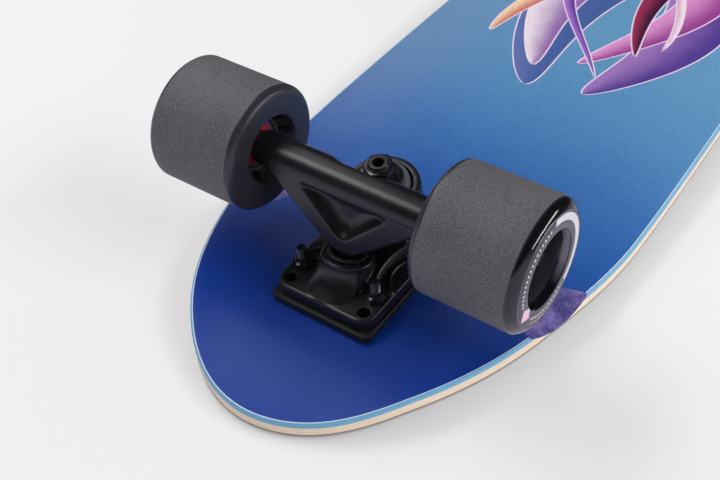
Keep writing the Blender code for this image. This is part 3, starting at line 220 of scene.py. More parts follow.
def stand(name, mesh, matrix=None):
    """Puts a mesh in the scene as one piece."""
    piece = bpy.data.objects.new(name, mesh)
    bpy.context.scene.collection.objects.link(piece)
    if matrix is not None:
        piece.matrix_world = matrix
    return piece


def worked(mesh, *steps):
    """The mesh after modifiers, each a (type, settings) pair; a tool is a mesh to cut with or add."""
    piece = stand("work", mesh)
    tools = []
    for kind, settings in steps:
        modifier = piece.modifiers.new(kind.lower(), kind)
        for key, value in settings.items():
            if key == "tool":
                tools.append(stand("tool", value))
                modifier.object = tools[-1]
            else:
                setattr(modifier, key, value)
    depsgraph = bpy.context.evaluated_depsgraph_get()
    result = bpy.data.meshes.new_from_object(piece.evaluated_get(depsgraph))
    for used in (piece, *tools):
        bpy.data.objects.remove(used, do_unlink=True)
    if not any(result.materials):
        result.materials.clear()
    return result


def combined(mesh, operation, tools, solver="MANIFOLD"):
    return worked(mesh, *[("BOOLEAN", {"operation": operation, "solver": solver, "tool": tool}) for tool in tools])


def less(mesh, *tools, **more):
    return combined(mesh, "DIFFERENCE", tools, **more)


def circle(count, start=0.0):
    """Cosine and sine at equal steps of one turn."""
    angles = [2 * math.pi * (i + start) / count for i in range(count)]
    return [(math.cos(angle), math.sin(angle)) for angle in angles]


def lathe(profile, segments=64):
    """Spins (radius, height) points round Z. A profile that starts and ends on the axis is a solid;
    any other closes into a ring."""
    rings = []
    points = []
    for radius, height in profile:
        start = len(points)
        if radius < 1e-6:
            points.append((0.0, 0.0, height))
            rings.append([start] * segments)
        else:
            points += [(radius * c, radius * s, height) for c, s in circle(segments)]
            rings.append(list(range(start, start + segments)))
    pairs = list(zip(rings, rings[1:]))
    if profile[0][0] > 1e-6 or profile[-1][0] > 1e-6:
        pairs.append((rings[-1], rings[0]))
    faces = []
    for lower, upper in pairs:
        for i in range(segments):
            j = (i + 1) % segments
            face = list(dict.fromkeys((lower[i], lower[j], upper[j], upper[i])))
            if len(face) > 2:
                faces.append(face)
    return skin(points, faces)


def rod(radius, bottom, top, segments=40):
    return lathe([(0, bottom), (radius, bottom), (radius, top), (0, top)], segments)


def moved(mesh, matrix):
    copy = mesh.copy()
    copy.transform(matrix)
    return copy


def together(*meshes):
    bm = bmesh.new()
    for mesh in meshes:
        bm.from_mesh(mesh)
    mesh = bpy.data.meshes.new("together")
    bm.to_mesh(mesh)
    bm.free()
    return mesh


def rounded(mesh, angle=30):
    """Smooth shading that stays crisp at edges sharper than the angle."""
    mesh.shade_smooth()
    mesh.set_sharp_from_angle(angle=math.radians(angle))
    return mesh


def coated(mesh, *materials, number=None):
    """Gives a mesh its materials and, if asked, all its faces the one of that number."""
    for material in materials:
        mesh.materials.append(material)
    if number is not None:
        mesh.polygons.foreach_set("material_index", [number] * len(mesh.polygons))
    return mesh


ALONG_Y = Matrix.Rotation(math.radians(-90), 4, "X")


def operator(operation, swapped=False):
    """A method that adds one Math node."""
    def method(self, other=0.0):
        first, second = (other, self) if swapped else (self, other)
        return self.add("Math", {"operation": operation}, {0: first, 1: second})
    return method


class Tone:
    """A socket of a finish. Arithmetic on it adds Math nodes, and add() makes any other node."""

    def __init__(self, socket):
        self.socket = socket

    def add(self, kind, settings=None, inputs=None, output=0):
        node = self.socket.id_data.nodes.new("ShaderNode" + kind)
        for key, value in (settings or {}).items():
            if key == "stops":
                elements = node.color_ramp.elements
                elements.remove(elements[1])
                elements[0].position, elements[0].color = value[0][0], (*value[0][1], 1)
                for place, colour in value[1:]:
                    elements.new(place).color = (*colour, 1)
            else:
                setattr(node, key, value)
        for key, value in (inputs or {}).items():
            Tone.plug(node.inputs[key], value)
        return Tone(node.outputs[output])

    @staticmethod
    def plug(socket, value):
        if isinstance(value, Tone):
            socket.id_data.links.new(value.socket, socket)
        elif socket.type == "RGBA":
            socket.default_value = (*value, 1)
        else:
            socket.default_value = value

    def feed(self, name, value):
        """Plugs a value into the shader whose output this is."""
        Tone.plug(self.socket.node.inputs[name], value)
        return self

    def beside(self, name):
        """Another output of the same node."""
        return Tone(self.socket.node.outputs[name])

    __add__ = __radd__ = operator("ADD")
    __sub__ = operator("SUBTRACT")
    __rsub__ = operator("SUBTRACT", swapped=True)
    __mul__ = __rmul__ = operator("MULTIPLY")
    __truediv__ = operator("DIVIDE")
    __mod__ = operator("MODULO")
    __pow__ = operator("POWER")
    __abs__ = operator("ABSOLUTE")
    sine = operator("SINE")
    angle_over = operator("ARCTAN2")
    least = operator("MINIMUM")
    most = operator("MAXIMUM")

    def rise(self, start, end):
        """0 at start, 1 at end and eased between them."""
        return self.add("MapRange", {"interpolation_type": "SMOOTHSTEP"},
                        {"Value": self, "From Min": start, "From Max": end})

    def within(self, low, high, soft):
        """1 between two limits and 0 outside them."""
        return self.rise(low, low + soft) * (1 - self.rise(high - soft, high))

    def mix(self, low, high):
        """A colour between two, by this value."""
        return self.add("Mix", {"data_type": "RGBA"}, {0: self, 6: low, 7: high}, 2)

    def place(self):
        """Where a point lies in its piece's own axes, in metres."""
        return self.add("TexCoord").beside("Object")

    def axis(self, number):
        """X, Y or Z of a vector."""
        return self.add("SeparateXYZ", None, {0: self}, number)

    def length(self):
        return self.add("VectorMath", {"operation": "LENGTH"}, {0: self}).beside("Value")

    def scaled(self, factors):
        """A vector or colour times another, part by part."""
        return self.add("VectorMath", {"operation": "MULTIPLY"}, {0: self, 1: factors})

    def noise(self, scale, detail=2.0, rough=0.5):
        """Noise over this vector, with about scale features to a metre."""
        return self.add("TexNoise", None, {"Vector": self, "Scale": scale, "Detail": detail, "Roughness": rough})

    def bump(self, height, strength, distance):
        """Feeds the shader's normal from a height that stands for a distance in millimetres."""
        return self.feed("Normal", self.add(
            "Bump", None, {"Strength": strength, "Distance": distance * MM, "Height": height}))


def finish(name, roughness=0.5, metallic=0.0, **constants):
    """A new material and the Tone of its shader."""
    material = bpy.data.materials.new(name)
    material.use_nodes = True
    shader = material.node_tree.nodes["Principled BSDF"]
    shader.inputs["Roughness"].default_value = roughness
    shader.inputs["Metallic"].default_value = metallic
    for key, value in constants.items():
        shader.inputs[key.replace("_", " ").title().replace("Ior", "IOR")].default_value = value
    return material, Tone(shader.outputs[0])


def srgb(red, green, blue):
    """A colour as a paint chart gives it, 0 to 255, in the linear values that a material takes."""
    return tuple((value / 255) ** 2.2 for value in (red, green, blue))


print_finish, surface = finish("printed_lacquer", 0.42, specular_ior_level=0.26)
blank = surface.add("UVMap", {"uv_map": "blank"})
from_tip = blank.axis(0) * 1000 - NOSE_X
across = blank.axis(1) * 1000
cloud = blank.noise(9, 4, 0.6)
fine_cloud = blank.noise(60, 3, 0.6)
distance = (from_tip + (cloud - 0.5) * 50 + (fine_cloud - 0.5) * 12 - across * 0.06) / DECK_LENGTH
shade = distance.add("ValToRGB", {"stops": (
    (0.0, srgb(12, 58, 146)), (0.08, srgb(12, 52, 134)), (0.17, srgb(18, 60, 140)), (0.23, srgb(40, 88, 158)),
    (0.29, srgb(62, 110, 170)), (0.36, srgb(80, 132, 178)), (0.45, srgb(94, 144, 184)),
    (0.70, srgb(96, 152, 192)), (0.86, srgb(60, 110, 172)), (1.0, srgb(34, 70, 146)))}, {"Fac": distance})
shade = (cloud.rise(0.5, 0.72) * 0.16).mix(shade, srgb(84, 98, 168))
# Greyer violet toward the left rail, from about 110 mm behind the tip: painted sheen of the back light on the lacquer.
shade = (across.rise(20, 95) * from_tip.rise(110, 260) * 0.3).mix(shade, srgb(128, 136, 170))


def ribbon(colour, start, end, middle, slope, swing, wave, phase, width, near, far):
    """Printed ribbon between two stations: it swings along the board, tapers at both ends, shades from
    one colour to the other across its width and has a thin pale rim."""
    along = from_tip - start
    share = (along / (end - start)).most(0.0).least(1.0)
    line = (along * (2 * math.pi / wave) + phase).sine() * swing + along * slope + middle
    half = (share * math.pi).sine() ** 0.5 * width
    off = across - line
    inside = half - abs(off)
    body = (off / (half + 0.1) * 0.5 + 0.5 + (fine_cloud - 0.5) * 0.3).rise(0.05, 0.95).mix(near, far)
    body = (1 - inside.rise(0.5, 1.3)).mix(body, srgb(226, 206, 226))
    return (inside.rise(-0.1, 0.15) * half.rise(0.2, 1.4)).mix(colour, body)


for band in (
        (262, 650, 0, -0.05, 30, 420, 0.3, 30, srgb(66, 92, 152), srgb(92, 108, 166)),
        (270, 700, -18, 0.04, 34, 400, 3.3, 26, srgb(80, 58, 138), srgb(150, 112, 180)),
        (280, 680, 14, -0.08, 26, 340, 0.0, 22, srgb(140, 102, 164), srgb(228, 214, 224)),
        (294, 690, -12, -0.02, 30, 360, 3.0, 17, srgb(146, 62, 138), srgb(212, 142, 198)),
        (298, 700, 34, -0.12, 20, 300, 1.2, 12, srgb(196, 108, 98), srgb(238, 206, 166)),
        (316, 706, -40, 0.12, 16, 280, 0.5, 11, srgb(56, 24, 52), srgb(150, 48, 84)),
        (286, 600, 0, 0.0, 36, 260, 5.6, 6, srgb(92, 58, 150), srgb(160, 112, 196)),
        (328, 660, -20, 0.10, 24, 300, 4.4, 5, srgb(236, 224, 226), srgb(206, 160, 196))):
    shade = ribbon(shade, *band)
weave = (blank.scaled((1.0, 1.7, 1.0)).noise(1000, 2, 0.7) - 0.5) * 1.1 + (blank.noise(380, 3, 0.7) - 0.5) * 0.5
surface.feed("Base Color", (weave + 0.5).mix(shade.scaled((0.55, 0.58, 0.66)), shade.scaled((1.5, 1.44, 1.36))))
surface.bump(weave, 0.12, 0.2)

rail_finish, surface = finish("rail_plies", 0.55)
depth = surface.add("UVMap", {"uv_map": "rail"}).axis(1) * 1000
place = surface.place()
grain = place.scaled((1.0, 1.0, 14.0)).noise(160, 4, 0.65)
wavy_depth = depth + (place.noise(90, 3) - 0.5) * 0.2
blue = grain.mix(srgb(92, 150, 188), srgb(120, 176, 208))
cream = grain.mix(srgb(226, 202, 176), srgb(248, 230, 208))
under = grain.mix(srgb(150, 142, 140), srgb(186, 178, 174))
plies = wavy_depth.rise(2.5, 2.8).mix(blue, cream)
plies = wavy_depth.rise(6.9, 7.1).mix(plies, srgb(112, 92, 80))
plies = wavy_depth.rise(7.4, 7.6).mix(plies, under)
for seam in (4.0, 5.4, 8.3):
    plies = ((1 - abs(wavy_depth - seam).rise(0.05, 0.2)) * 0.35).mix(plies, srgb(150, 124, 98))
# Near-white thin line where the print meets the rail: painted highlight along the rounded edge.
plies = depth.rise(0.03, 0.07).mix(srgb(214, 222, 230), plies)
surface.feed("Base Color", plies)
surface.feed("Roughness", grain * 0.2 + wavy_depth.rise(2.5, 2.8) * 0.25 + 0.3)
surface.bump(grain, 0.12, 0.2)

base_finish, surface = finish("riding_side_ply", 0.6)
surface.feed("Base Color", surface.place().scaled((1.0, 14.0, 1.0)).noise(60, 4, 0.6).mix(
    srgb(150, 120, 88), srgb(206, 178, 140)))

well_finish, surface = finish("sanded_well", 0.6)
place = surface.place()
fibre = place.scaled((1.0, 5.0, 5.0)).noise(200, 4, 0.65)
pore = place.noise(700, 2, 0.7)
stain = (place.noise(95, 4, 0.65) * 0.62 + fibre * 0.2 + pore * 0.18).rise(0.38, 0.64)
surface.feed("Base Color", stain.mix(srgb(62, 60, 122), srgb(128, 112, 178)))
surface.feed("Roughness", stain * 0.2 + 0.5)
surface.bump(fibre * 0.6 + pore * 0.4, 0.2, 0.3)

edge_steps = 6
rims = []
for i in range(edge_steps + 1):
    angle = math.pi / 2 * i / edge_steps
    rims.append((EDGE_ROUND * (1 - math.sin(angle)), -EDGE_ROUND * (1 - math.cos(angle))))
rims += [(0.0, -EDGE_ROUND - 2), (0.0, -EDGE_ROUND - 4), (0.0, EDGE_CHAMFER - DECK_THICKNESS),
         (EDGE_CHAMFER * 0.3, EDGE_CHAMFER * 0.3 - DECK_THICKNESS), (EDGE_CHAMFER, -DECK_THICKNESS)]
deck_finishes = (print_finish, rail_finish, base_finish, well_finish)
lean = math.atan2(WELL_DEPTH, WELL_REACH)
scoop = rod(WELL_RADIUS, -60, 40, 256)
scoops = []
for row, inward in ((FRONT_ROW_X, 1), (REAR_ROW_X, -1)):
    x = row + inward * WELL_X
    height = rail_height(x) - WELL_DEPTH + WELL_RADIUS / math.cos(lean)
    for side, spin in ((-1, math.pi), (1, 0.0)):
        scoops.append(moved(scoop, BOARD @ at(x, side * half_width(x), height) @ Matrix.Rotation(
            -side * lean, 4, "X") @ Matrix.Rotation(spin, 4, "Z") @ ALONG_Y))
deck_mesh = less(coated(pressed_board(rims), *deck_finishes),
                 coated(together(*scoops), *deck_finishes, number=WELL), solver="EXACT")
deck = stand("deck_board", rounded(deck_mesh, 40))
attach(deck, "board")
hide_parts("deck")


# Grip tape. Black abrasive sheet stuck over the riding side and trimmed just inside the rail, with
# the countersunk bolt heads showing through it.
GAP = 0.3
GRIP_TOP = -DECK_THICKNESS - GAP
GRIP_UNDER = GRIP_TOP - 0.75
GRIP_HOLE = 5.0
BOLT_ROWS = (9.5, 63.5)
HOLE_Y = 20.65

grip_finish, surface = finish("grip_abrasive", 0.92)
place = surface.place()
grit = place.noise(2600, 2, 0.7)
sparkle = place.noise(1500, 1).rise(0.68, 0.74)
surface.feed("Base Color", sparkle.mix(grit.mix(srgb(20, 20, 21), srgb(48, 48, 50)), srgb(92, 92, 96)))
surface.feed("Roughness", 0.95 - sparkle * 0.5)
surface.bump(grit, 0.6, 0.4)
grip_mesh = pressed_board([(1.7, GRIP_TOP), (1.6, (GRIP_TOP + GRIP_UNDER) / 2), (1.7, GRIP_UNDER)])
punch = rod(GRIP_HOLE, -20, 0)
holes = together(*[
    moved(punch, BOARD @ at(row + inward * x, side * HOLE_Y, -2))
    for row, inward in ((FRONT_ROW_X, 1), (REAR_ROW_X, -1)) for x in BOLT_ROWS for side in (-1, 1)])
grip_mesh = less(coated(grip_mesh, grip_finish, number=0), coated(holes, grip_finish), solver="EXACT")
grip = stand("grip_sheet", rounded(grip_mesh, 40))
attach(grip, "board")
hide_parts("grip_tape")


# Riser pads. Flat rubber-like pads, one under each baseplate and a little larger than it all round,
# clamped by the same four bolts. Their edges are soft.
PLATE_X0 = -6.4
PLATE_X1 = 69.9
PLATE_HALF = 26.3
PLATE_CORNER = 7.5
HOLE_RADIUS = 2.9


def corners_rounded(corners, radii, steps=10):
    """Outline through the corners, each rounded by its own radius."""
    outline = []
    for i, radius in enumerate(radii):
        corner = Vector(corners[i])
        before = (Vector(corners[i - 1]) - corner).normalized()
        after = (Vector(corners[(i + 1) % len(corners)]) - corner).normalized()
        half = before.angle(after) / 2
        centre = corner + (before + after).normalized() * (radius / math.sin(half))
        start = corner + before * (radius / math.tan(half)) - centre
        turn = start.angle_signed(corner + after * (radius / math.tan(half)) - centre)
        outline += [tuple(centre + Matrix.Rotation(-turn * s / steps, 2) @ start) for s in range(steps + 1)]
    return outline


def plate_outline(grow, radius):
    """The baseplate's rectangle with round corners, moved out on all sides."""
    x0, x1, half = PLATE_X0 - grow[0], PLATE_X1 + grow[0], PLATE_HALF + grow[1]
    return corners_rounded([(x0, -half), (x1, -half), (x1, half), (x0, half)], [radius] * 4)


def loft(rings):
    """Skin through rings of equal count, closed by a flat cap at each end."""
    count = len(rings[0])
    faces = []
    for start in range(0, (len(rings) - 1) * count, count):
        for i in range(count):
            j = (i + 1) % count
            faces.append((start + i, start + j, start + count + j, start + count + i))
    faces.append(tuple(range(count)))
    faces.append(tuple(range((len(rings) - 1) * count, len(rings) * count)))
    return skin([point for ring in rings for point in ring], faces)


def prism(outline, bottom, top):
    return loft([[(x, y, z) for x, y in outline] for z in (bottom, top)])


def bevelled(mesh, width, segments):
    return worked(mesh, ("BEVEL", {"width": width * MM, "segments": segments, "limit_method": "ANGLE",
                                   "angle_limit": math.radians(60)}))


def drills(rows, bottom, top):
    """Rods where the bolt holes of some rows go."""
    return together(*[moved(rod(HOLE_RADIUS, bottom, top), at(x, side * HOLE_Y)) for x in rows for side in (-1, 1)])


riser_finish, surface = finish("riser_rubber", 0.55)
place = surface.place()
surface.feed("Base Color", place.noise(220, 3).mix(srgb(20, 19, 21), srgb(36, 34, 37)))
surface.feed("Roughness", place.noise(900, 2).rise(0.2, 0.8) * 0.2 + 0.42)
surface.bump(place.noise(1400, 2), 0.25, 0.2)
pad = bevelled(prism(plate_outline((2.0, 1.0), 3.2), GAP - TRUCK_Z, -GAP), 0.45, 3)
pad = coated(rounded(less(pad, drills(BOLT_ROWS, -9, 3))), riser_finish)
for label, truck in TRUCKS.items():
    piece = stand(f"{label}_riser", pad, truck)
    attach(piece, "board")
    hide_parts(f"{label}_riser_pad")


# Baseplates. Die-cast aluminium in satin black: a flange with six holes, a waisted spine that ends in
# a round platform under the bushings, and a tilted housing for the pivot cup. Every edge is soft from
# the mould and the powder coat.
FLANGE = 6.5
SEAT = Vector((50.1, 0, 14.6))
KINGPIN_TILT = math.radians(8.5)
KINGPIN_AXIS = Vector((-math.sin(KINGPIN_TILT), 0, math.cos(KINGPIN_TILT)))
KINGPIN_RADIUS = 4.75
KINGPIN_HEAD = 14.3
BALL = Vector((15.6, 0, 11.4))
BALL_RADIUS = 5.5
CUP_TILT = math.radians(15)
CUP_AXIS = Vector((math.sin(CUP_TILT), 0, math.cos(CUP_TILT)))
CUP_RADIUS = 8.0
CUP_FLOOR = -7.9
HOUSING_RADIUS = 12.4
HOUSING_RIM = 6.0
FOOT_HALF_WIDTH = 13.0
FOOT_SQUARENESS = 0.7
PLATFORM_RADIUS = 18.0
WAIST_X = 27.0
WAIST_RADIUS = 31.3
WAIST_HALF = 14.2
ACROSS = Vector((0, 1, 0))


def turned(x, y, z):
    """Matrix that lays the X, Y and Z axes along three directions."""
    return Matrix((x, y, z)).transposed().to_4x4()


def lying_on(origin, axis):
    """Matrix whose Z runs along the axis and whose Y stays across the board."""
    z = axis.normalized()
    return at(*origin) @ turned(ACROSS.cross(z), ACROSS, z)


def on_kingpin(s=0.0):
    return lying_on(SEAT + KINGPIN_AXIS * s, KINGPIN_AXIS)


def plus(mesh, *parts):
    return combined(mesh, "UNION", parts)


def hexagon(flats):
    return [(c * flats / math.sqrt(3), s * flats / math.sqrt(3)) for c, s in circle(6)]


def spine_outline(grow, steps=14):
    """Plan of the spine: round the kingpin platform, waisted, then up to the pivot housing."""
    centre = WAIST_HALF + WAIST_RADIUS
    platform_x = SEAT.x + math.tan(KINGPIN_TILT) * (SEAT.z - FLANGE)
    radius = PLATFORM_RADIUS + grow
    waist = WAIST_RADIUS - grow
    reach = math.hypot(platform_x - WAIST_X, centre)
    bearing = math.atan2(-centre, WAIST_X - platform_x)
    join = bearing + math.acos(min(1.0, (radius ** 2 + reach ** 2 - waist ** 2) / (2 * radius * reach)))
    side = []
    for i in range(steps + 1):
        angle = join * (1 - i / steps)
        side.append((platform_x + radius * math.cos(angle), radius * math.sin(angle)))
    start = math.atan2(side[0][1] + centre, side[0][0] - WAIST_X)
    end = math.pi - math.acos(min(0.95, (WAIST_X - BALL.x + 2) / waist))
    arc = []
    for i in range(1, steps + 1):
        angle = start + (end - start) * i / steps
        arc.append((WAIST_X + waist * math.cos(angle), -centre + waist * math.sin(angle)))
    lower = list(reversed(arc)) + side
    return lower + [(x, -y) for x, y in reversed(lower[:-1])]


black_casting, surface = finish("black_casting", 0.33)
place = surface.place()
mottle = place.noise(130, 4, 0.6)
dust = place.noise(3200, 1).rise(0.70, 0.76)
surface.feed("Base Color",
             (dust * 0.16).mix(mottle.mix(srgb(22, 21, 25), srgb(34, 33, 38)), srgb(120, 120, 126)))
surface.feed("Roughness", mottle * 0.12 + 0.27)
surface.bump(place.noise(1300, 2, 0.6), 0.16, 0.1)

spine = loft(
    [[(x, y, z) for x, y in spine_outline(1.1)] for z in (2, FLANGE)]
    + [[(x, y, SEAT.z + (x - SEAT.x) * math.tan(KINGPIN_TILT) - drop) for x, y in spine_outline(grow)]
       for drop, grow in ((0.9, 0.0), (0.3, -0.3), (0.0, -0.9))])
flange = bevelled(prism(plate_outline((0, 0), PLATE_CORNER), 0, FLANGE), 1.1, 4)

lean_out = Vector((math.cos(CUP_TILT), 0, -math.sin(CUP_TILT)))
foot_back = BALL.x + HOUSING_RADIUS
foot_x = (PLATE_X0 + foot_back) / 2
foot_half = (foot_back - PLATE_X0) / 2 - 0.3
housing_circle = circle(64)


def housing_rim(lift, inset):
    """Ring square to the cup's axis, over the housing's rim and in from its wall."""
    middle = BALL + CUP_AXIS * (HOUSING_RIM + lift)
    radius = HOUSING_RADIUS - inset
    return [middle + lean_out * (radius * c) + ACROSS * (radius * s) for c, s in housing_circle]


rings = [housing_rim(0.7, 0.9), housing_rim(0.35, 0.3)]
for level, flare in (
        (1.0, 0.0), (0.8, 0.03), (0.6, 0.13), (0.42, 0.28), (0.26, 0.48), (0.12, 0.72), (0.0, 0.94), (-0.5, 1.0)):
    ring = []
    for upper, (c, s) in zip(housing_rim(0.0, 0.0), housing_circle):
        low_x = foot_x + foot_half * c
        low_y = HOUSING_RADIUS * s
        if c < 0:
            wide = HOUSING_RADIUS + (FOOT_HALF_WIDTH - HOUSING_RADIUS) * ease(-c / 0.4)
            low_x = foot_x - foot_half * abs(c) ** FOOT_SQUARENESS
            low_y = math.copysign(wide * abs(s) ** FOOT_SQUARENESS, s)
        height = FLANGE + (upper.z - FLANGE) * max(level, 0.0) + FLANGE * min(level, 0.0)
        ring.append((upper.x + (low_x - upper.x) * flare, upper.y + (low_y - upper.y) * flare, height))
    rings.append(ring)
housing = loft(rings)
trim = prism(plate_outline((-1.1, -1.1), PLATE_CORNER), 1, 30)
lips = []
for side in (-1, 1):
    lip = lathe([(15.1, FLANGE - 1), (16.7, FLANGE - 1), (16.6, FLANGE + 0.9), (16.2, FLANGE + 1.3),
                 (15.6, FLANGE + 1.3), (15.2, FLANGE + 0.9)], 96)
    lips.append(combined(moved(lip, at(29.4, side * 33.5)), "INTERSECT", [trim], "EXACT"))
cup_seat = moved(rod(CUP_RADIUS + GAP, CUP_FLOOR - GAP, 30, 64), lying_on(BALL, CUP_AXIS))
pin_hole = moved(rod(KINGPIN_RADIUS + GAP, -40, 20), on_kingpin())
pin_pocket = moved(prism(hexagon(KINGPIN_HEAD + 0.6), -40, -6.2), on_kingpin())
baseplate = less(plus(flange, spine, housing, *lips), cup_seat, pin_hole, pin_pocket,
                 drills((0.0, *BOLT_ROWS), -2, 40))


def cast_skin(mesh):
    """Rounds every edge and inner corner as a mould and a thick coat do."""
    soft = worked(mesh, ("REMESH", {"mode": "VOXEL", "voxel_size": 0.5 * MM}),
                  ("SMOOTH", {"factor": 0.5, "iterations": 3}), ("DECIMATE", {"ratio": 0.35}))
    soft.shade_smooth()
    return soft


baseplate = coated(cast_skin(baseplate), black_casting)
for label, truck in TRUCKS.items():
    piece = stand(f"{label}_plate", baseplate, truck)
    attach(piece, "board")
    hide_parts(f"{label}_baseplate")


# Pivot cups. Soft black cups pressed into the housing, each with a thin rim over its mouth, in which
# the hanger's ball turns.
CUP_INNER = 5.9
CUP_LIP = 7.0

rubber_finish, surface = finish("cup_rubber", 0.55)
place = surface.place()
surface.feed("Base Color", place.noise(400, 3).mix(srgb(14, 14, 15), srgb(34, 34, 36)))
surface.bump(place.noise(1800, 2), 0.2, 0.1)
bowl = [(CUP_INNER * math.sin(math.radians(a)), -CUP_INNER * math.cos(math.radians(a)))
        for a in range(90, 0, -10)]
cup = lathe([
    (0, CUP_FLOOR), (CUP_RADIUS, CUP_FLOOR), (CUP_RADIUS, CUP_LIP), (CUP_RADIUS + 1.1, CUP_LIP),
    (CUP_RADIUS + 1.3, CUP_LIP + 0.2), (CUP_RADIUS + 1.3, CUP_LIP + 0.7), (CUP_RADIUS + 0.9, CUP_LIP + 1.05),
    (CUP_RADIUS + 0.3, CUP_LIP + 1.1), (CUP_INNER + 1.2, CUP_LIP + 1.1), (CUP_INNER + 0.9, CUP_LIP + 0.9),
    (CUP_INNER + 0.2, 3.0), *bowl, (0, -CUP_INNER)])
cup = coated(rounded(cup, 35), rubber_finish)
for label, truck in TRUCKS.items():
    piece = stand(f"{label}_cup", cup, truck @ lying_on(BALL, CUP_AXIS))
    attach(piece, "board")
    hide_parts(f"{label}_pivot_cup")


# Kingpin stacks. A hollow blackened pin holds washer, soft bushing, the hanger's ring, second bushing,
# washer and a lock nut, one on the other along its own tilted axis. The bushings bulge under the load.
WASHER = 1.5
LOW_BUSHING = 13.0
TOP_BUSHING = 6.9
RING_THICKNESS = 4.5
LOW_WASHER_S = GAP
LOW_BUSHING_S = LOW_WASHER_S + WASHER + GAP
RING_FLOOR_S = LOW_BUSHING_S + LOW_BUSHING + GAP
RING_TOP_S = RING_FLOOR_S + RING_THICKNESS
TOP_BUSHING_S = RING_TOP_S + GAP
TOP_WASHER_S = TOP_BUSHING_S + TOP_BUSHING + GAP
NUT_S = TOP_WASHER_S + WASHER + GAP
PIN_TIP_S = NUT_S + 9.4
BORE = KINGPIN_RADIUS + GAP

steel_black, surface = finish("blackened_steel", 0.25, 0.9)
place = surface.place()
rub = place.noise(260, 4, 0.65)
surface.feed("Base Color", rub.rise(0.5, 0.75).mix(srgb(70, 70, 75), srgb(128, 128, 133)))
surface.feed("Roughness", rub * 0.18 + 0.16)
surface.bump(place.noise(1500, 2), 0.1, 0.1)

bushing_finish, surface = finish("grey_urethane", 0.3)
place = surface.place()
surface.feed("Base Color", place.noise(120, 3).mix(srgb(66, 71, 76), srgb(88, 93, 99)))
surface.bump(place.noise(900, 2), 0.1, 0.2)


def bushing(height, radius, neck_radius=8.2, neck=2.4):
    """Barrel with rounded ends, a seat for the washer below and a neck inside the ring above."""
    steepest = math.radians(80)
    profile = [(BORE, 0), (radius - 1.9, 0)]
    for i in range(9):
        angle = steepest * (i / 4 - 1)
        profile.append((radius - 1.5 + 1.5 * math.cos(angle),
                        height / 2 * (1 + math.sin(angle) / math.sin(steepest) * 0.97)))
    profile += [(radius - 1.9, height), (neck_radius, height), (neck_radius, height + neck), (BORE, height + neck)]
    return coated(rounded(lathe(profile), 40), bushing_finish)


def washer(radius):
    profile = [(BORE, 0), (radius - 0.2, 0), (radius, 0.2), (radius, WASHER - 0.5),
               (radius - 0.2, WASHER - 0.2), (radius - 0.6, WASHER), (BORE, WASHER)]
    return coated(rounded(lathe(profile), 35), steel_black)


def threaded(core, bottom, top, pitch, depth, segments=32):
    """Rod whose thread climbs as one helix and fades at the tip."""
    rows = max(8, int((top - bottom) / pitch * 6))
    rings = []
    for row in range(rows + 1):
        z = bottom + (top - bottom) * row / rows
        fade = min(1.0, (top - z) / pitch)
        ring = []
        for i, (c, s) in enumerate(circle(segments)):
            phase = (z / pitch - i / segments) % 1.0
            radius = core - depth * (1 - abs(2 * phase - 1)) * fade - (1 - fade) * depth
            ring.append((radius * c, radius * s, z))
        rings.append(ring)
    return loft(rings)


def nut(flats, height, bore, collar, collar_radius):
    """Hexagon with the round chamfer of a turned blank, and a collar that holds a nylon ring."""
    reach = flats / math.sqrt(3)
    slope = (reach - flats / 2 + 0.3) * 0.55
    blank = [(0, 0), (reach - 0.5, 0), (reach + 0.05, slope * 0.7), (reach + 0.05, height - slope),
             (flats / 2 - 0.3, height), (collar_radius, height + 0.1), (collar_radius, height + collar - 0.4),
             (collar_radius - 0.4, height + collar), (0, height + collar)]
    shaped = combined(prism(hexagon(flats), 0, height + collar), "INTERSECT", [lathe(blank)], "EXACT")
    tool = lathe([(0, -1), (bore + 0.4, -1), (bore + 0.4, 0), (bore, 0.4), (bore, 30), (0, 30)], 48)
    return rounded(less(shaped, tool), 25)


pin = plus(threaded(KINGPIN_RADIUS, NUT_S - 1, PIN_TIP_S, 1.0, 0.35, 48),
           rod(KINGPIN_RADIUS, -7.2, NUT_S, 48), prism(hexagon(KINGPIN_HEAD), -12.0, -6.5))
pin = coated(rounded(less(pin, rod(2.8, -30, PIN_TIP_S + 5))), steel_black)
pin_nut = coated(nut(13.0, 7.9, KINGPIN_RADIUS + 0.2, 0.7, 5.7), steel_black)
upside_down = Matrix.Rotation(math.pi, 4, "X")
stack = (
    ("pin", pin, on_kingpin(), "kingpin", "blackened_steel"),
    ("low_washer", washer(14.0), on_kingpin(LOW_WASHER_S), "boardside_washer", "blackened_steel"),
    ("low_bushing", bushing(LOW_BUSHING, 13.6), on_kingpin(LOW_BUSHING_S), "boardside_bushing", "bushing"),
    ("top_bushing", bushing(TOP_BUSHING, 13.2), on_kingpin(TOP_BUSHING_S + TOP_BUSHING) @ upside_down,
     "roadside_bushing", "bushing"),
    ("top_washer", washer(10.6), on_kingpin(TOP_WASHER_S), "roadside_washer", "blackened_steel"),
    ("pin_nut", pin_nut, on_kingpin(NUT_S), "kingpin_nut", "blackened_steel"),
)
for label, truck in TRUCKS.items():
    for name, mesh, matrix, node, slot in stack:
        piece = stand(f"{label}_{name}", mesh, truck @ matrix)
        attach(piece, "board")
        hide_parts(f"{label}_{node}")


# Hangers. One casting each: a round barrel for the axle, a triangular web with a sunken pocket, a yoke
# back to the ring between the bushings, and the pivot that ends in a ball. Satin black all over.
HANGER_END = 52.5
BARREL = 8.3
WEB_FRONT = 10.3
WEB_LEAN = math.radians(6.3)
WEB_THICKNESS = 8.0
WEB_HALF = 43.6
WEB_ANGLE = math.radians(50.8)
WEB_TIP = 14.5
WEB_DEPTH = WEB_HALF / math.tan(WEB_ANGLE)
RING_RADIUS = 18.0
POCKET_HALF = 24.5
POCKET_TOP = -1.2
POCKET_TIP = 7.0
RELIEF_FACING = math.radians(39)

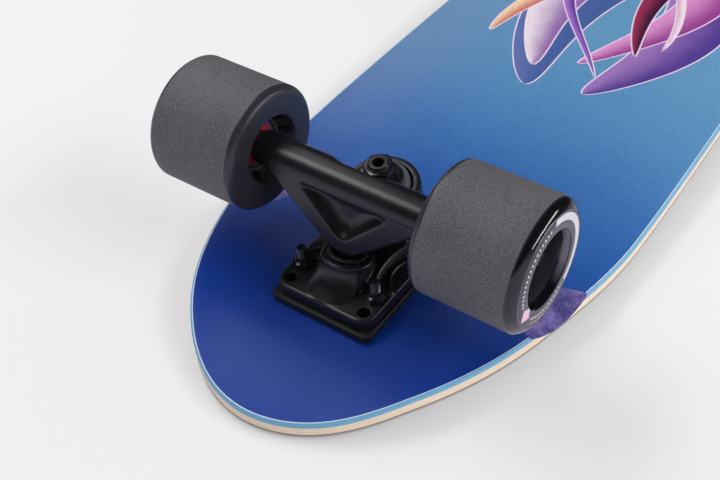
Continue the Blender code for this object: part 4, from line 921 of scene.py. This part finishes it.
forward = WEB_FRONT - BARREL / math.cos(WEB_LEAN)
half = [(WEB_HALF - 3.5, BARREL, forward), (WEB_HALF - 1.5, BARREL, forward * 0.85),
        (WEB_HALF + 0.5, BARREL, forward * 0.4), (WEB_HALF + 3, BARREL, 0.0),
        (HANGER_END - 0.8, BARREL, 0.0), (HANGER_END, BARREL - 0.8, 0.0)]
barrel = loft([
    [(AXLE.x + radius * c - shift * ease(-c * 2.5), y, AXLE.z + radius * s) for c, s in circle(96, 0.5)]
    for y, radius, shift in [(-y, radius, shift) for y, radius, shift in reversed(half)] + half])

web_normal = Vector((-math.cos(WEB_LEAN), 0, math.sin(WEB_LEAN)))
web_up = Vector((math.sin(WEB_LEAN), 0, math.cos(WEB_LEAN)))
ON_WEB = at(AXLE.x - WEB_FRONT, 0, AXLE.z) @ turned(web_up.cross(web_normal), web_up, web_normal)
web_plan = corners_rounded([(-WEB_HALF, 0), (0, -WEB_DEPTH), (WEB_HALF, 0)], [1, WEB_TIP, 1], 14)
web = moved(bevelled(prism(web_plan, -WEB_THICKNESS, 0), 1.2, 4), ON_WEB)

ring_centre = SEAT + KINGPIN_AXIS * (RING_FLOOR_S + RING_THICKNESS / 2)
back_x = AXLE.x - WEB_FRONT + WEB_THICKNESS - 2
yoke_length = ring_centre.x - back_x
rings = []
for x, z, wide, high in (
        (back_x, AXLE.z - 11.5, 17.0, 9.5),
        (back_x + yoke_length * 0.32, AXLE.z - 12.5, 16.5, 9.0),
        (back_x + yoke_length * 0.58, (AXLE.z + ring_centre.z) / 2 - 6.5, 16.5, 6.0),
        (ring_centre.x - 10.5, ring_centre.z - 0.6, 15.5, 4.4)):
    rings.append([(x, wide * math.copysign(abs(c) ** 0.5, c), z + high * math.copysign(abs(s) ** 0.6, s))
                  for c, s in circle(48, 0.5)])
yoke = loft(rings)
ring_low = RING_FLOOR_S - 2.0
ring_high = RING_TOP_S + 4.2
collar_ring = moved(lathe([
    (0, ring_low), (RING_RADIUS - 1, ring_low), (RING_RADIUS, ring_low + 1), (RING_RADIUS, ring_high - 1),
    (RING_RADIUS - 1, ring_high), (0, ring_high)], 96), on_kingpin())

web_root = WEB_DEPTH - WEB_TIP / math.sin(WEB_ANGLE)
reach = (AXLE.z - web_root - BALL.z) / math.cos(CUP_TILT)
ball = [(BALL_RADIUS * math.cos(math.radians(a)), BALL_RADIUS * math.sin(math.radians(a)))
        for a in range(-80, 41, 10)]
pivot = moved(lathe([(0, -BALL_RADIUS), *ball, (4.9, 5.0), (4.9, 11.5), (6.0, 17.5), (6.0, reach), (0, reach)], 48),
              lying_on(BALL, CUP_AXIS))

rings = []
for inset, deep in ((-1.5, -3.0), (-0.9, -0.1), (-0.5, 0.05), (-0.1, 0.3), (0.3, 0.75), (0.9, 1.6), (1.7, 2.7),
                    (2.7, 3.8), (3.8, 4.7), (5.0, 5.4), (6.2, 5.8), (7.4, 5.95)):
    side_x = POCKET_HALF - inset / math.tan(math.radians(22.5))
    top_y = POCKET_TOP - inset
    tip_y = POCKET_TOP - POCKET_HALF + inset * math.sqrt(2)
    corner = max(0.5, 1.4 - inset * 0.15)
    pocket_plan = corners_rounded([(-side_x, top_y), (0, tip_y), (side_x, top_y)],
                                  [corner, max(1.6, POCKET_TIP - inset * 0.75), corner], 12)
    rings.append([(x, y, -deep) for x, y in pocket_plan])
pocket = moved(loft(rings), ON_WEB)
above = TOP_WASHER_S + WASHER + 1.1
seats = moved(lathe([(0, -5), (14.7, -5), (14.7, RING_FLOOR_S), (9.0, RING_FLOOR_S), (9.0, RING_TOP_S),
                     (14.3, RING_TOP_S), (14.3, above), (0, above)], 96), on_kingpin())
axle_bore = moved(rod(4.3, -60, 60), at(*AXLE) @ ALONG_Y)
flat_base = BARREL - 1.8
facing = Vector((math.cos(RELIEF_FACING), 0, math.sin(RELIEF_FACING)))
relief = moved(
    prism([(-10, flat_base), (10, flat_base), (16.5, 8.5), (16.5, 14), (-16.5, 14), (-16.5, 8.5)], -9, 9),
    at(*AXLE) @ turned(ACROSS, facing, ACROSS.cross(facing)))
hanger = less(plus(barrel, web, yoke, collar_ring, pivot), pocket, seats, axle_bore, relief)
hanger = coated(cast_skin(hanger), black_casting)
for label, truck in TRUCKS.items():
    piece = stand(f"{label}_hanger_cast", hanger, truck)
    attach(piece, f"{label}_hanger_set")
    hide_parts(f"{label}_hanger")


# Axles, spacers and axle nuts. Bright steel rods through the hangers, threaded at the tips, with thin
# washers on both sides of the bearings and a lock nut that holds each wheel on.
AXLE_RADIUS = 4.0
BEARING = 7.0
SLEEVE = 24.3
RACE_START = HANGER_END + 1.4
RACE_END = RACE_START + SLEEVE
AXLE_TIP = RACE_END + 8.6
SIDES = {"front": (("left", 0), ("right", math.pi)), "rear": (("right", 0), ("left", math.pi))}

bright_steel, surface = finish("bright_steel", 0.24, 1.0)
place = surface.place()
lines = place.scaled((1.0, 12.0, 1.0)).noise(900, 2)
surface.feed("Base Color", place.noise(150, 3).mix(srgb(168, 170, 174), srgb(206, 207, 210)))
surface.feed("Roughness", lines * 0.2 + 0.18)
surface.bump(lines, 0.12, 0.05)
thin_washer = lathe([(0, 0), (6.2, 0), (6.4, 0.15), (6.4, 0.65), (6.2, 0.8), (0, 0.8)], 48)
ends = []
for turn in (0, math.pi):
    outward = Matrix.Rotation(turn, 4, "X")
    ends.append(moved(thin_washer, outward @ at(0, 0, HANGER_END + GAP)))
    ends.append(moved(threaded(AXLE_RADIUS, RACE_END - 3, AXLE_TIP, 1.0, 0.3), outward))
axle_mesh = coated(rounded(plus(rod(AXLE_RADIUS, 2 - RACE_END, RACE_END - 2), *ends)), bright_steel)
spacer_mesh = coated(rounded(lathe([
    (4.3, 0), (5.9, 0), (6.0, 0.1), (6.0, BEARING), (5.3, BEARING), (5.3, SLEEVE - BEARING),
    (6.0, SLEEVE - BEARING), (6.0, SLEEVE - 0.1), (5.9, SLEEVE), (4.3, SLEEVE)], 48)), bright_steel)
outer_nut = plus(nut(12.7, 5.0, 4.2, 1.6, 5.4),
                 lathe([(4.4, -0.8), (6.2, -0.8), (6.4, -0.6), (6.4, 0.05), (4.4, 0.05)], 48))
outer_nut = coated(rounded(outer_nut, 25), bright_steel)
for label, truck in TRUCKS.items():
    piece = stand(f"{label}_axle_rod", axle_mesh, truck @ at(*AXLE) @ ALONG_Y)
    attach(piece, f"{label}_hanger_set")
    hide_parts(f"{label}_axle")
    for side, turn in SIDES[label]:
        outward = truck @ at(*AXLE) @ Matrix.Rotation(turn, 4, "Z") @ ALONG_Y
        for name, mesh, start, node in (("races", spacer_mesh, RACE_START, "spacer"),
                                        ("lock_nut", outer_nut, RACE_END + 1.1, "axle_nut")):
            piece = stand(f"{label}_{name}_{side}", mesh, outward @ at(0, 0, start))
            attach(piece, f"{label}_hanger_set")
            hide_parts(f"{label}_{node}_{side}")


# Wheels. Soft black urethane cast round a hard spoked core. The tread is ground to a matte grey with
# fine slanting lines; the rounded lips and the side faces stay glossy, and the outer faces are printed.
WHEEL_RADIUS = 30.5
WHEEL_WIDTH = 50.4
WHEEL_START = HANGER_END - 6.4
INNER_LIP = 3.5
OUTER_LIP = 4.0
LIP_FACE = 26.3
MOUTH = 16.7
FIRST_SEAT = 7.8
SECOND_SEAT = 25.1
SEAT_RADIUS = 11.3
HUB_RADIUS = 13.0
CORE_FACE = 9.5
SPOKES = 9

urethane, surface = finish("black_urethane", 0.1, ior=1.55)
own = surface.place()
across_axle = own.scaled((1.0, 0.0, 1.0))
radius = across_axle.length() * 1000
depth = own.axis(1) * 1000
around = own.axis(2).angle_over(own.axis(0))
tread = radius.rise(WHEEL_RADIUS - 0.14, WHEEL_RADIUS - 0.08) * depth.rise(INNER_LIP - 0.1, INNER_LIP + 0.1) * (
    1 - depth.rise(WHEEL_WIDTH - OUTER_LIP - 0.1, WHEEL_WIDTH - OUTER_LIP + 0.1))
unrolled = own.add("CombineXYZ", None, {"X": around * WHEEL_RADIUS + depth * 0.6, "Y": depth - around * 9})
lines = unrolled.scaled((0.9, 3.2, 1.0)).noise(1.6, 3, 0.7)
speckle = own.noise(1500, 2, 0.7)
scuff = own.noise(45, 4, 0.6)
ground = (lines * 0.36 + speckle * 0.54 + scuff * 0.1).rise(0.34, 0.66).mix(srgb(62, 61, 66), srgb(106, 105, 110))

printed = depth.rise(WHEEL_WIDTH - 4, WHEEL_WIDTH - 3)
degrees = (around * (180 / math.pi) + 360) % 360.0
arc = degrees.within(96, 232, 1.0) * radius.within(21.6, 25.0, 0.15)
dashes = (degrees % 6.0).within(1.0, 4.2, 0.5) * radius.within(21.0, 22.4, 0.15)
dashes = dashes * (1 - degrees.within(90, 238, 1.0)) * (1 - degrees.within(312, 350, 1.0))
thin_arc = degrees.within(246, 306, 1.0) * radius.within(24.0, 24.5, 0.12)
lozenge = 1 - (abs(degrees - 331) / 13 + abs(radius - 21.2) / 4).rise(0.92, 1.0)
# Lavender grey on the upper side of the mouth's wall, fading round it: painted light, a reflection of the pale floor on
# the wall's lit side.
painted_light_on_mouth_wall = (1 - radius.rise(17.6, 18.1)) * depth.rise(WHEEL_WIDTH - 3.4, WHEEL_WIDTH - 2.4) * degrees.within(
    100, 250, 45.0)
# Away from the printed outer face the urethane takes a lighter grey base: painted haze of soft reflections on the inner
# side.
face = printed.mix(srgb(48, 46, 53), srgb(19, 19, 24))
face = painted_light_on_mouth_wall.mix(face, srgb(104, 99, 116))
face = (printed * arc.most(dashes) * (speckle * 0.2 + 0.8)).mix(face, srgb(206, 204, 214))
face = (printed * thin_arc).mix(face, srgb(196, 104, 128))
face = (printed * lozenge * (speckle * 0.3 + 0.7)).mix(face, srgb(232, 192, 212))
surface.feed("Base Color", tread.mix(face, ground))
inner_side = 1 - depth.rise(20, 28)
recess = 1 - radius.rise(16.2, 16.9)
surface.feed("Roughness", tread * 0.66 + (1 - tread) * (scuff * 0.06 + 0.08 + inner_side * 0.24 + recess * 0.2))
surface.bump((lines * 0.4 + speckle * 0.6) * tread, 0.3, 0.3)

lip_steps = 12
lip_from, lip_to = math.radians(20), math.radians(61)
lip_reach = WHEEL_RADIUS - LIP_FACE
outer_face = WHEEL_WIDTH
core_face = WHEEL_WIDTH - CORE_FACE
profile = [(MOUTH, 0.5), (MOUTH + 0.4, 0.1), (MOUTH + 1, 0.0)]
for i in range(lip_steps + 1):
    angle = math.pi / 2 * i / lip_steps
    profile.append((LIP_FACE + lip_reach * math.sin(angle), INNER_LIP * (1 - math.cos(angle))))
profile += [(WHEEL_RADIUS, INNER_LIP + (WHEEL_WIDTH - INNER_LIP - OUTER_LIP) * i / 8) for i in range(1, 8)]
for i in range(lip_steps + 1):
    angle = lip_from + (lip_to - lip_from) * i / lip_steps
    inward = (math.cos(angle) - math.cos(lip_to)) / (math.cos(lip_from) - math.cos(lip_to))
    outward = (math.sin(angle) - math.sin(lip_from)) / (math.sin(lip_to) - math.sin(lip_from))
    profile.append((LIP_FACE + lip_reach * inward, WHEEL_WIDTH - OUTER_LIP + (OUTER_LIP - 0.1) * outward))
profile += [
    (LIP_FACE - 0.15, outer_face), (LIP_FACE - 0.4, outer_face - 0.05), (LIP_FACE - 0.7, outer_face - 0.12),
    (LIP_FACE - 1.2, outer_face), (MOUTH + 2.2, outer_face + 0.3), (MOUTH + 1.5, outer_face + 0.2),
    (MOUTH + 1.1, outer_face - 0.3), (MOUTH - 0.5, outer_face - 4.5), (MOUTH - 0.6, core_face),
    (HUB_RADIUS, core_face - 1.5), (SEAT_RADIUS + 0.3, SECOND_SEAT + BEARING + 0.3),
    (SEAT_RADIUS, SECOND_SEAT + BEARING), (SEAT_RADIUS, SECOND_SEAT - 0.3), (9.3, SECOND_SEAT - 0.3),
    (9.3, FIRST_SEAT + BEARING + 0.3), (SEAT_RADIUS, FIRST_SEAT + BEARING + 0.3), (SEAT_RADIUS, FIRST_SEAT),
    (SEAT_RADIUS + 0.3, FIRST_SEAT - 0.3), (HUB_RADIUS, FIRST_SEAT - 0.6), (MOUTH - 0.8, 3.5)]
window_plan = corners_rounded([(12.9, -1.9), (15.9, -2.9), (15.9, 2.9), (12.9, 1.9)], [0.8] * 4, 4)
windows = together(*[
    moved(prism(window_plan, low, high), Matrix.Rotation(2 * math.pi * i / SPOKES, 4, "Z"))
    for i in range(SPOKES) for low, high in ((-2, 12), (33, 60))])
wheel_mesh = coated(rounded(moved(less(lathe(profile, 128), windows), ALONG_Y), 32), urethane)

seal_finish, surface = finish("red_bearing_seal", 0.4)
place = surface.place()
surface.feed("Base Color", place.noise(500, 2).mix(srgb(138, 24, 32), srgb(178, 42, 50)))
surface.bump(place.noise(1600, 1), 0.1, 0.1)
shell = lathe([(9.7, 0.3), (9.9, 0), (10.8, 0), (11.0, 0.2), (11.0, 6.8), (10.8, 7.0), (9.9, 7.0), (9.7, 6.7)])
seal = lathe([
    (6.3, 0.75), (6.7, 0.55), (7.4, 0.65), (9.2, 0.5), (9.65, 0.4), (9.65, 6.6), (9.2, 6.5), (7.4, 6.35),
    (6.7, 6.45), (6.3, 6.25)])
bearing_mesh = together(shell, coated(seal, bright_steel, seal_finish, number=1))
bearing_mesh = rounded(moved(coated(bearing_mesh, bright_steel, seal_finish), ALONG_Y))
for label, truck in TRUCKS.items():
    for side, turn in SIDES[label]:
        outward = truck @ at(*AXLE) @ Matrix.Rotation(turn, 4, "Z")
        piece = stand(f"{label}_tyre_{side}", wheel_mesh, outward @ at(0, WHEEL_START))
        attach(piece, f"{label}_{side}_wheel_set")
        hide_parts(f"{label}_wheel_{side}")
        for end, start in (("inner", RACE_START), ("outer", RACE_END - BEARING)):
            piece = stand(f"{label}_race_{side}_{end}", bearing_mesh, outward @ at(0, start))
            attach(piece, f"{label}_{side}_wheel_set")
            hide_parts(f"{label}_bearing_{side}_{end}")


# Mounting bolts and nuts. Black countersunk machine screws go through deck, pad and plate from the
# riding side, and stand out of their nuts by a few turns of thread.
BOLT_RADIUS = 2.4
BOLT_HEAD_RADIUS = 4.4
HEAD_Z = -TRUCK_Z - DECK_THICKNESS - 0.9
SMALL_NUT_Z = FLANGE + GAP
BOLT_TIP = SMALL_NUT_Z + 4.6 + 6.2
SLOT_REACH = 2.6
SLOT_HALF = 0.45

bolt = plus(
    lathe([(0, HEAD_Z), (BOLT_HEAD_RADIUS - 0.2, HEAD_Z), (BOLT_HEAD_RADIUS, HEAD_Z + 0.2),
           (BOLT_HEAD_RADIUS, HEAD_Z + 0.8), (BOLT_RADIUS, HEAD_Z + 2.8), (BOLT_RADIUS, FLANGE), (0, FLANGE)], 40),
    threaded(BOLT_RADIUS, FLANGE - 1, BOLT_TIP, 0.8, 0.28, 24))
slot_cut = prism([(-SLOT_REACH, -SLOT_HALF), (SLOT_REACH, -SLOT_HALF), (SLOT_REACH, SLOT_HALF),
                  (-SLOT_REACH, SLOT_HALF)], HEAD_Z - 1, HEAD_Z + 1.4)
bolt = coated(rounded(less(bolt, slot_cut, moved(slot_cut, Matrix.Rotation(math.pi / 2, 4, "Z")))), steel_black)
small_nut = coated(nut(8.0, 3.2, 2.45, 1.4, 3.5), steel_black)
for label, truck in TRUCKS.items():
    places = [(x, side * HOLE_Y) for x in BOLT_ROWS for side in (1, -1)]
    for number, (x, y) in enumerate(places, 1):
        for name, mesh, z, node in (("screw", bolt, 0.0, "mounting_bolt"),
                                    ("nut", small_nut, SMALL_NUT_Z, "mounting_nut")):
            piece = stand(f"{label}_{name}_{number}", mesh, truck @ at(x, y, z))
            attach(piece, "board")
            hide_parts(f"{label}_{node}_{number}")


# Studio. A plain white floor under soft lights, and the camera where the picture was taken from. The
# lights and distances here are in metres. Far from the board the floor glows evenly, so that no light
# leaves an edge on it, and black pieces mirror a darker floor toward the tail.
FLOOR_HALF = 40

floor_finish, surface = finish("white_sweep", 0.9, specular_ior_level=0.1)
place = surface.place()
straight = surface.add("LightPath")
mirrored = straight.beside("Is Glossy Ray")
seen = straight.most(mirrored).most(straight.beside("Is Transmission Ray"))
pale = place.noise(1.5, 2).mix(srgb(241, 241, 242), srgb(244, 244, 245))
# Glossy rays see the floor with a lavender tint: painted colour of the reflections.
pale = mirrored.mix(pale, srgb(226, 222, 238))
pale = (mirrored * (place.axis(0) - front_hub.x).rise(0.1, 0.4)).mix(pale, srgb(40, 40, 44))
surface.feed("Base Color", pale)
glow = surface.add("Emission", None, {"Color": pale, "Strength": 0.88})
far = place.length().rise(0.55, 0.95)
shown = surface.add("MixShader", None, {0: seen * (far * 0.58 + 0.42), 1: surface, 2: glow})
Tone.plug(floor_finish.node_tree.nodes["Material Output"].inputs["Surface"], shown)
floor_mesh = bpy.data.meshes.new("floor")
floor_mesh.from_pydata([(-FLOOR_HALF, -FLOOR_HALF, 0), (FLOOR_HALF, -FLOOR_HALF, 0), (FLOOR_HALF, FLOOR_HALF, 0),
                        (-FLOOR_HALF, FLOOR_HALF, 0)], [], [(0, 1, 2, 3)])
floor = stand("floor", coated(floor_mesh, floor_finish), at(0, 0, -0.2))

world = bpy.data.worlds.new("studio")
bpy.context.scene.world = world
world.use_nodes = True
background = Tone(world.node_tree.nodes["Background"].outputs[0])
straight = background.add("LightPath")
mirrored = straight.beside("Is Glossy Ray").most(straight.beside("Is Transmission Ray"))
toward = background.add("TexCoord")
wall = (1 - toward.axis(2).rise(0.02, 0.22)) * (1 - toward.axis(0).rise(-0.25, 0.35))
background.feed("Color", mirrored.mix((0.97, 0.98, 1.0), (0.88, 0.86, 1.0)))
background.feed("Strength", straight.most(mirrored * (wall * 0.85 + 0.03)).most((1 - straight) * (1 - mirrored) * 0.45))

target = Vector((front_hub.x, 0, front_hub.z - 0.02))
for name, direction, away, size, power, glossy in (
        ("top_softbox", (-0.05, 0.48, 0.87), 1.15, (0.72, 0.3), 4.3, True),
        ("fill_softbox", (0.1, -0.75, 0.65), 2.0, (1.4, 0.5), 18.5, False),
        ("back_softbox", (0.33, 0.72, 0.62), 1.5, (0.8, 0.6), 3, True),
        ("low_strip", (0.48, -0.87, 0.08), 1.3, (0.95, 0.06), 3.6, True)):
    light = bpy.data.lights.new(name, "AREA")
    light.shape = "RECTANGLE"
    light.size, light.size_y = size
    light.energy = power
    lamp = bpy.data.objects.new(name, light)
    bpy.context.scene.collection.objects.link(lamp)
    lamp.visible_glossy = glossy
    lamp.location = target + Vector(direction) * away
    lamp.rotation_euler = (target - lamp.location).to_track_quat("-Z", "Y").to_euler()

camera_data = bpy.data.cameras.new("camera")
camera_data.lens = 58.717
camera_data.sensor_width = 36
camera_data.clip_start = 0.01
camera = bpy.data.objects.new("camera", camera_data)
bpy.context.scene.collection.objects.link(camera)
right = Vector((0.5755, -0.81616, -0.05187))
down = Vector((-0.59258, -0.37246, -0.71423))
ahead = Vector((0.5636, 0.44177, -0.69799))
camera.matrix_world = BOARD @ at(FRONT_ROW_X - 277.749, -239.055, 400.729) @ turned(right, -down, -ahead)
bpy.context.scene.camera = camera
bpy.context.scene.view_settings.view_transform = "Standard"
